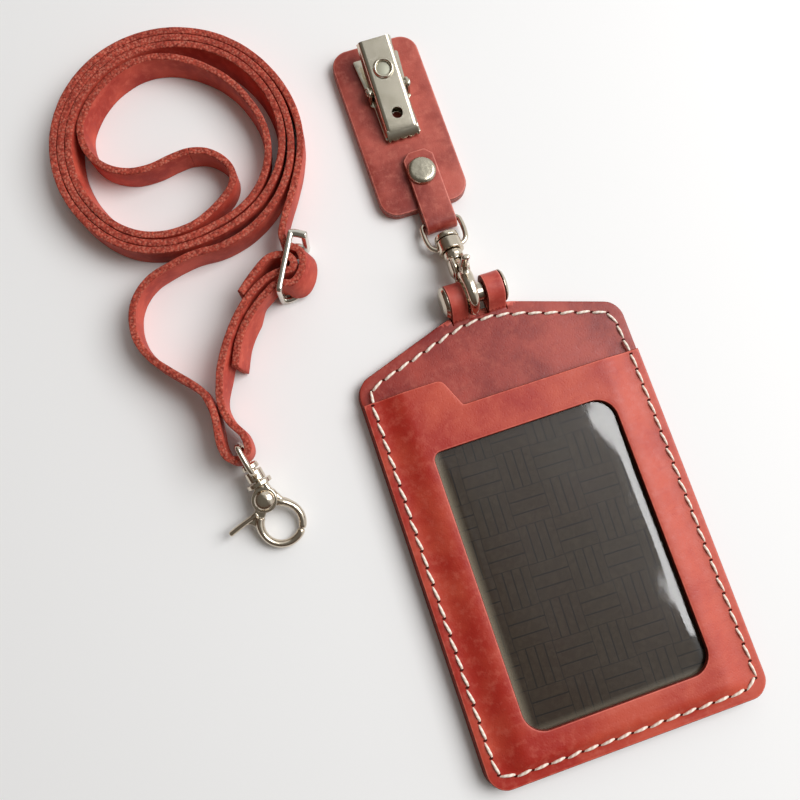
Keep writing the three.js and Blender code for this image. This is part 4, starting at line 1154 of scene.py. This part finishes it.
for prefix, placing, cheek, domed, neck, collar, boss, head, head_low, head_high in (
    ("hook", hook_at, 1.9, 0.5, 2.3, 2.55, 3.35, 3.3, 15.75, 17.3),
    ("clasp", clasp_at, 1.95, 1, 1.9, 3.2, 2.25, 2.15, 15.2, 16.75),
):
    body_mesh = cast(f"{prefix}_body_cast", [
        disc(3.15, 1.0, cheek), disc(3.15, -cheek, -1.0), cut_sheet(neck_outline, -neck, neck, 0.6, 0.6),
        cut_sheet(root_outline, -1.3, 1.3, 0.6, 0.6), ring_bar(-43.2, 68, 68, 1.45),
        lathed([(0, 9.2), (neck, 9.2), (neck + 0.15, 10.6), (collar, 10.75), (collar, 11.9), (0, 11.9)]),
    ], clasp_nickel, room=[disc(2.4, -0.98, 0.98, 0.05)])
    eye_mesh = cast(f"{prefix}_eye_cast", [
        eye_wire, lathed([(0, 12.1), (boss, 12.1), (boss, head_low - 0.4), (0, head_low - 0.4)]),
    ], clasp_nickel, 0.1, 5)
    placed(f"{prefix}_claw", body_mesh, placing, prefix, "nickel", f"{prefix}_body")
    placed(f"{prefix}_lever_gate", gate_mesh, placing, f"{prefix}_trigger", "nickel", f"{prefix}_gate")
    upper = [(radius, cheek + domed * height) for radius, height in ball]
    lower = [(radius, -height) for radius, height in reversed(upper)]
    rivet = moved(turned(lower + [(0.8, -cheek), (0.8, cheek)] + upper, 40, 0.12), shift(*PIVOT))
    post = lathed([
        (0, 10.6), (0.9, 10.6), (0.9, head_low), (head - 0.2, head_low), (head, head_low + 0.3),
        (head - 0.1, head_high - 0.3), (head - 0.6, head_high), (0, head_high + 0.1),
    ], 0.12)
    for name, shell, node in (
        ("ball_rivet", rivet, "rivet"), ("gate_spring", spring_wire, "spring"), ("swivel_post", post, "post"),
    ):
        part = put_together(f"{prefix}_{name}", [moved(shell, placing)], [clasp_nickel])
        wear(part, prefix, "nickel", f"{prefix}_{node}")
    placed(f"{prefix}_wire_eye", eye_mesh, placing, f"{prefix}_loop", "nickel", f"{prefix}_eye")


# The badge pad
# Two layers of leather with burnished edges. The back one goes on as a tongue, down and round the
# hanging clasp's eye and up over the front, where a cap rivet holds it.
PAD_LEFT = -14.7
PAD_RIGHT = 9.2
PAD_LOW = 86.3
PAD_HIGH = 135.2
PAD_BEND = 4.8
TONGUE_LEFT = -5.35
TONGUE_RIGHT = 2.95
TONGUE_Y = 81.5
TONGUE_Z = 2.35
TONGUE_TURN = 1.6
TONGUE_START = 87
tongue_route = Route(
    [(TONGUE_START, LAYER / 2), (84.5, LAYER / 2)]
    + arc(TONGUE_Y, TONGUE_Z, TONGUE_TURN, 270, 90, 30)
    + [(90, TONGUE_Z + TONGUE_TURN), (101.5, TONGUE_Z + TONGUE_TURN)]
)


def round_the_eye(point):
    if point.y >= TONGUE_START or not TONGUE_LEFT - 0.05 < point.x < TONGUE_RIGHT + 0.05:
        return point
    return tongue_route.at(point.x, TONGUE_START - point.y, LAYER / 2 - point.z)


tongue_end = TONGUE_START - tongue_route.length
clipped = 1.9
pad_back_outline = rounded_outline([
    (PAD_LEFT, PAD_LOW, PAD_BEND), (TONGUE_LEFT, PAD_LOW, 0), (TONGUE_LEFT, tongue_end + clipped, 0),
    (TONGUE_LEFT + clipped, tongue_end, 0), (TONGUE_RIGHT - clipped, tongue_end, 0),
    (TONGUE_RIGHT, tongue_end + clipped, 0), (TONGUE_RIGHT, PAD_LOW, 0), (PAD_RIGHT, PAD_LOW, PAD_BEND),
    (PAD_RIGHT, PAD_HIGH, PAD_BEND), (PAD_LEFT, PAD_HIGH, PAD_BEND),
], 0.6)
pad_front_outline = rectangle(PAD_LEFT, PAD_LOW, PAD_RIGHT, PAD_HIGH, PAD_BEND)
pad_edge = cut_leather("pad_edge", (0.2, 0.035, 0.028), (0.46, 0.13, 0.1), (0.62, 0.27, 0.2), 0.3, 0.45)
# The pad is painted much lighter towards the right, as painted window light, and paler at its rim, partly
# wear and partly a painted highlight.
pad_leather = waxed_leather(
    "pad_leather", (0.25, 0.028, 0.018), (0.5, 0.1, 0.07), (0.6, 0.17, 0.12), 90, 0.2, 0.44, rubbed_and_highlit=0.9,
    light_from_right=0.25,
)
for name, sheet, node in (
    ("pad_back_layer", cut_sheet(pad_back_outline, 0, LAYER, 0.28, 0.9, shape=round_the_eye), "pad_back"),
    ("pad_front_layer", cut_sheet(pad_front_outline, LAYER, 2 * LAYER, 0.35, 2), "pad_front"),
):
    wear(put_together(name, [sheet], [pad_leather, pad_edge]), "pad", "leather", node)

cap_nickel = nickel("cap_nickel", (0.52, 0.48, 0.38), 0.2, 0.5)
cap_seat = TONGUE_Z + TONGUE_TURN + LAYER / 2 + 0.02
tab_rivet = turned_piece("cap_rivet", [
    (0, 0.05), (3.4, 0.05), (3.4, 0.75), (1.25, 0.95), (1.25, cap_seat), (3.8, cap_seat),
    (3.8, cap_seat + 0.45), (3.6, cap_seat + 0.95), (3.1, cap_seat + 1.32), (2.7, cap_seat + 1.4),
    (0, cap_seat + 1.46),
], shift(-1.6, 95.5, 0), cap_nickel, 64, 0.3)
wear(sharp_over(tab_rivet, 60), "pad", "nickel", "tab_rivet")


# The bulldog clip
# Pressed from nickel-plated sheet steel and brushed: a flared base with two ears, a channel-shaped
# lever with a toothed lip on its pin, and the torsion spring and rivet between them.
def brushed(name, colour, rough=0.19):
    """Plated sheet with fine strokes along its length, and a little yellow in patches."""
    made = Finish(name)
    strokes = made.noise(1, 3, 0.7, made.mapped((9000, 260, 9000)))
    dim = [channel * 0.7 for channel in colour]
    colour = made.blend(made.spread(strokes, 0.35, 0.7, 0, 0.4), colour, dim)
    colour = made.blend(made.spread(made.noise(210, 3), 0.45, 0.7, 0, 0.4), colour, (0.4, 0.37, 0.27))
    shine = made.spread(strokes, 0.3, 0.7, rough - 0.05, rough + 0.08)
    made.give({"Metallic": 1.0, "Base Color": colour, "Roughness": shine})
    made.bump(strokes, 0.07, 0.00005)
    return made.material


clip_steel = brushed("clip_steel", (0.66, 0.61, 0.5))
CLIP_X = -2.8
PIN_Y = 120
PIN_Z = 5.8
SHEET = 0.7
floor = 2 * LAYER + 0.02


def standing(point):
    """A sheet drawn in the YZ plane and raised along X."""
    return Vector((point.z, point.x, point.y))


base_outline = rounded_outline([
    (-4.9, 106.7, 0.5), (4.9, 106.7, 0.5), (4.9, 116.6, 0.4), (5.7, 117.3, 0.4), (5.7, 122.7, 1),
    (6.4, 131, 0.6), (-6.4, 131, 0.6), (-5.7, 122.7, 1), (-5.7, 117.3, 0.4), (-4.9, 116.6, 0.4),
], 0.6)
ear_outline = rounded_outline([
    (PIN_Y - 2.6, floor + 0.05, 0.2), (PIN_Y + 2.6, floor + 0.05, 0.2), (PIN_Y + 1.2, PIN_Z + 1.2, 1.1),
    (PIN_Y - 1.2, PIN_Z + 1.2, 1.1),
], 0.4)
base_hole = circle_outline(0, 112.6, 1.35, 24)
sheets = [cut_sheet(base_outline, floor, floor + SHEET + 0.1, 0.16, 1.2, [base_hole])]
for ear_left in (-5.7, 5):
    sheets.append(cut_sheet(ear_outline, ear_left, ear_left + SHEET, 0.16, 0.8, shape=standing))
clip_base = put_together(
    "clip_base_plate", [moved(sheet, shift(CLIP_X, 0, 0)) for sheet in sheets], [clip_steel, clip_steel]
)
wear(clip_base, "clip", "brushed", "clip_base")

LEVER_UNDER = 1.55
LEVER_TOP = 2.25
LEVER_HALF = 4.4
FLANGE_LEAN = 0.3
LEVER_TIP = -12.8
LEVER_END = 12.7


def flange_foot(y):
    """How low the channel's sides reach, along the lever."""
    return float(np.interp(y, [LEVER_TIP, -3, -1.9, 1.9, 3, LEVER_END], [0.7, -1.3, -1.6, -1.6, -1.3, 0.8]))


def channel_section(foot):
    bend = 1.05
    inner_bend = 0.2
    inner_half = LEVER_HALF - SHEET
    outer = [
        (-LEVER_HALF - FLANGE_LEAN, foot), *arc(-LEVER_HALF + bend, LEVER_TOP - bend, bend, 180, 90, 6),
        (-LEVER_HALF + bend + 0.2, LEVER_TOP),
    ]
    inner = [
        (-inner_half - FLANGE_LEAN, foot),
        *arc(-inner_half + inner_bend, LEVER_UNDER - inner_bend, inner_bend, 180, 90, 4),
    ]
    return outer + [(-x, z) for x, z in reversed(outer)] + [(-x, z) for x, z in inner] + inner[::-1]


stations = np.linspace(LEVER_TIP + 0.15, LEVER_END, 60)
channel_points = []
for y in stations:
    nod = 0.6 * max(0, (LEVER_TIP + 2.4 - y) / 2.4) ** 2
    channel_points += [Vector((x, y, z - nod)) for x, z in channel_section(flange_foot(y) + 0.5 * nod)]
channel = plain_shell(channel_points, tube_faces(len(stations), len(channel_section(0))))
on_pin = shift(CLIP_X, PIN_Y, PIN_Z)
lever_at = on_pin @ spin(10.5, "X")


def round_cutter(y, radius):
    profile = [(0, 0.5), (radius, 0.5), (radius, 3.5), (0, 3.5)]
    return turned_piece("cutter", profile, lever_at @ shift(0, y, 0), clip_steel, 40, 0.01)


EYELET_Y = 4.5
lever = put_together("lever_channel", [moved(channel, lever_at)], [clip_steel])
with_cuts(lever, [round_cutter(EYELET_Y, 1.76), round_cutter(-7.5, 1.5)])
sharp_over(lever, 35)
lip_route = Route([(p.y, p.z) for p in smooth_path([
    (0, LEVER_TIP + 1.4, 1.75), (0, LEVER_TIP + 0.4, 1.5), (0, LEVER_TIP - 0.5, 1.05),
    (0, LEVER_TIP - 1.25, 0.5),
], 0.15)])
lip_outline = [Vector((-4.35, 0)), Vector((4.35, 0)), Vector((4.35, lip_route.length - 0.1))]
for tooth in range(4):
    middle = 3.3 - 2.2 * tooth
    lip_outline += [
        Vector((middle + 0.6, lip_route.length)), Vector((middle, lip_route.length - 0.5)),
        Vector((middle - 0.6, lip_route.length)),
    ]
lip_outline.append(Vector((-4.35, lip_route.length - 0.1)))
lip = cut_sheet(
    rounded_outline([(place.x, place.y, 0) for place in lip_outline], 0.3), -0.35, 0.35, 0.1, 0.4,
    shape=lambda point: lip_route.at(point.x, point.y, point.z),
)
in_eyelet = shift(0, EYELET_Y, 0)
eyelet = moved(turned([
    (0, LEVER_UNDER), (1.74, LEVER_UNDER), (1.85, LEVER_TOP + 0.35), (2.1, LEVER_TOP + 0.68),
    (2.45, LEVER_TOP + 0.68), (2.72, LEVER_TOP + 0.3), (2.78, LEVER_TOP - 0.1), (0, LEVER_UNDER - 0.02),
], 48, 0.12), in_eyelet)
snap_face = brushed("snap_face", (0.42, 0.42, 0.34), 0.5)
snap_profile = [(0, LEVER_TOP - 0.5), (1.74, LEVER_TOP - 0.5), (1.74, LEVER_TOP - 0.1), (0, LEVER_TOP - 0.05)]
snap = plain_shell(*moved(turned(snap_profile, 40, 0.05), in_eyelet)[:2], 2)
lever_fittings = put_together(
    "lever_lip_and_eyelet", [moved(part, lever_at) for part in (lip, eyelet, snap)],
    [clip_steel, clip_steel, snap_face],
)
wear(lever, "clip_jaw", "brushed", "clip_lever")
wear(lever_fittings, "clip_jaw", "brushed")

clip_nickel = nickel("clip_nickel", (0.6, 0.55, 0.45), 0.18, 0.2)
clip_pin = turned_piece("clip_hinge_pin", [
    (0, -6.2), (0.85, -6.1), (1, -5.75), (0.8, -5.75), (0.8, 5.75), (1, 5.75), (0.85, 6.1), (0, 6.2),
], on_pin @ spin(90, "Y"), clip_nickel, 32, 0.1)
wear(clip_pin, "clip", "brushed", "clip_pin")
spring_coil = []
for k in range(133):
    turn = 2 * math.pi * 5.5 * k / 132
    spring_coil.append(Vector((-2.85 + 5.7 * k / 132, 1.2 * math.sin(turn), -1.2 * math.cos(turn))))
lower_line = [Vector((-2.9, 6.2, -1.65)), *spring_coil]
upper_line = [*spring_coil[-3:], Vector((2.9, 6.2, 2.15))]
for name, line, body, nodes in (
    ("clip_torsion_spring", lower_line, "clip", ["clip_spring"]),
    ("clip_spring_upper_leg", upper_line, "clip_jaw", []),
):
    wire = tube(line, [0.22] * len(line), Vector((1, 0, 0)), 8)
    wear(put_together(name, [moved(wire, on_pin)], [clip_nickel]), body, "brushed", *nodes)
rivet_seat = floor + 0.82
clip_rivet = turned_piece("clip_back_rivet", [
    (0, 0.05), (2.1, 0.05), (2.1, 0.55), (1.05, 0.75), (1.05, rivet_seat), (2.3, rivet_seat),
    (2.1, rivet_seat + 0.5), (1.2, rivet_seat + 0.9), (0, rivet_seat + 1),
], shift(CLIP_X, 124.4, 0), clip_nickel, 40, 0.12)
wear(clip_rivet, "pad", "brushed", "clip_rivet")


# The strap's slider
# A nickel frame on edge: two rails, a middle rod that the inner loop goes round, and a slanting
# bar at each end.
slider_nickel = nickel("slider_nickel", (0.72, 0.68, 0.6), 0.12, 0.2)
FRAME_HIGH = 11.8
slider_at = shift(SLIDER_X, SLIDER_Y, 0) @ Matrix.Rotation(SLIDER_TURN, 4, "Z")
strip = rectangle(-7.9, -1.15, 7.9, 0.35, 0.7, 0.6)


def flat_bar(places, width, height):
    """A rounded bar through places, wide along the table and high across it."""
    line = smooth_path(places, 0.3)
    return tube(line, [width / 2] * len(line), Vector((0.05, 0.05, 1)), 20, [height / width] * len(line))


def upright(x, y, width):
    outline = rectangle(x - width / 2, y - 0.7, x + width / 2, y + 0.7, 0.45, 0.4)
    return cut_sheet(outline, 0.3, FRAME_HIGH - 0.25, 0.5, 0.6)


rod_profile = [(0, 0.4), (0.85, 0.4), (0.85, FRAME_HIGH - 0.4), (0, FRAME_HIGH - 0.4)]
slider_mesh = cast("slider_cast", [
    cut_sheet(strip, 0, 1.6, 0.5, 0.8), cut_sheet(strip, FRAME_HIGH - 1.6, FRAME_HIGH, 0.5, 0.8),
    upright(-7.3, -0.4, 1.9), upright(7.4, -3.9, 1.9),
    flat_bar([(7.2, 0, 11), (7.6, -1.4, 11), (7.5, -4.3, 11)], 2.1, 1.5),
    flat_bar([(7.2, 0, 0.85), (7.6, -1.4, 0.85), (7.5, -4.3, 0.85)], 2.1, 1.5),
    flat_bar([(-7.2, -0.3, 0.85), (-7.0, -1.6, 0.85), (-6.2, -3, 0.85), (-5.4, -3.8, 0.85)], 1.8, 1.5),
    moved(turned(rod_profile, 24, 0.1), shift(0, -0.3, 0)),
], slider_nickel, 0.1, 6)
slider = placed("slider", slider_mesh, slider_at, "lanyard", "nickel", "slider_frame")
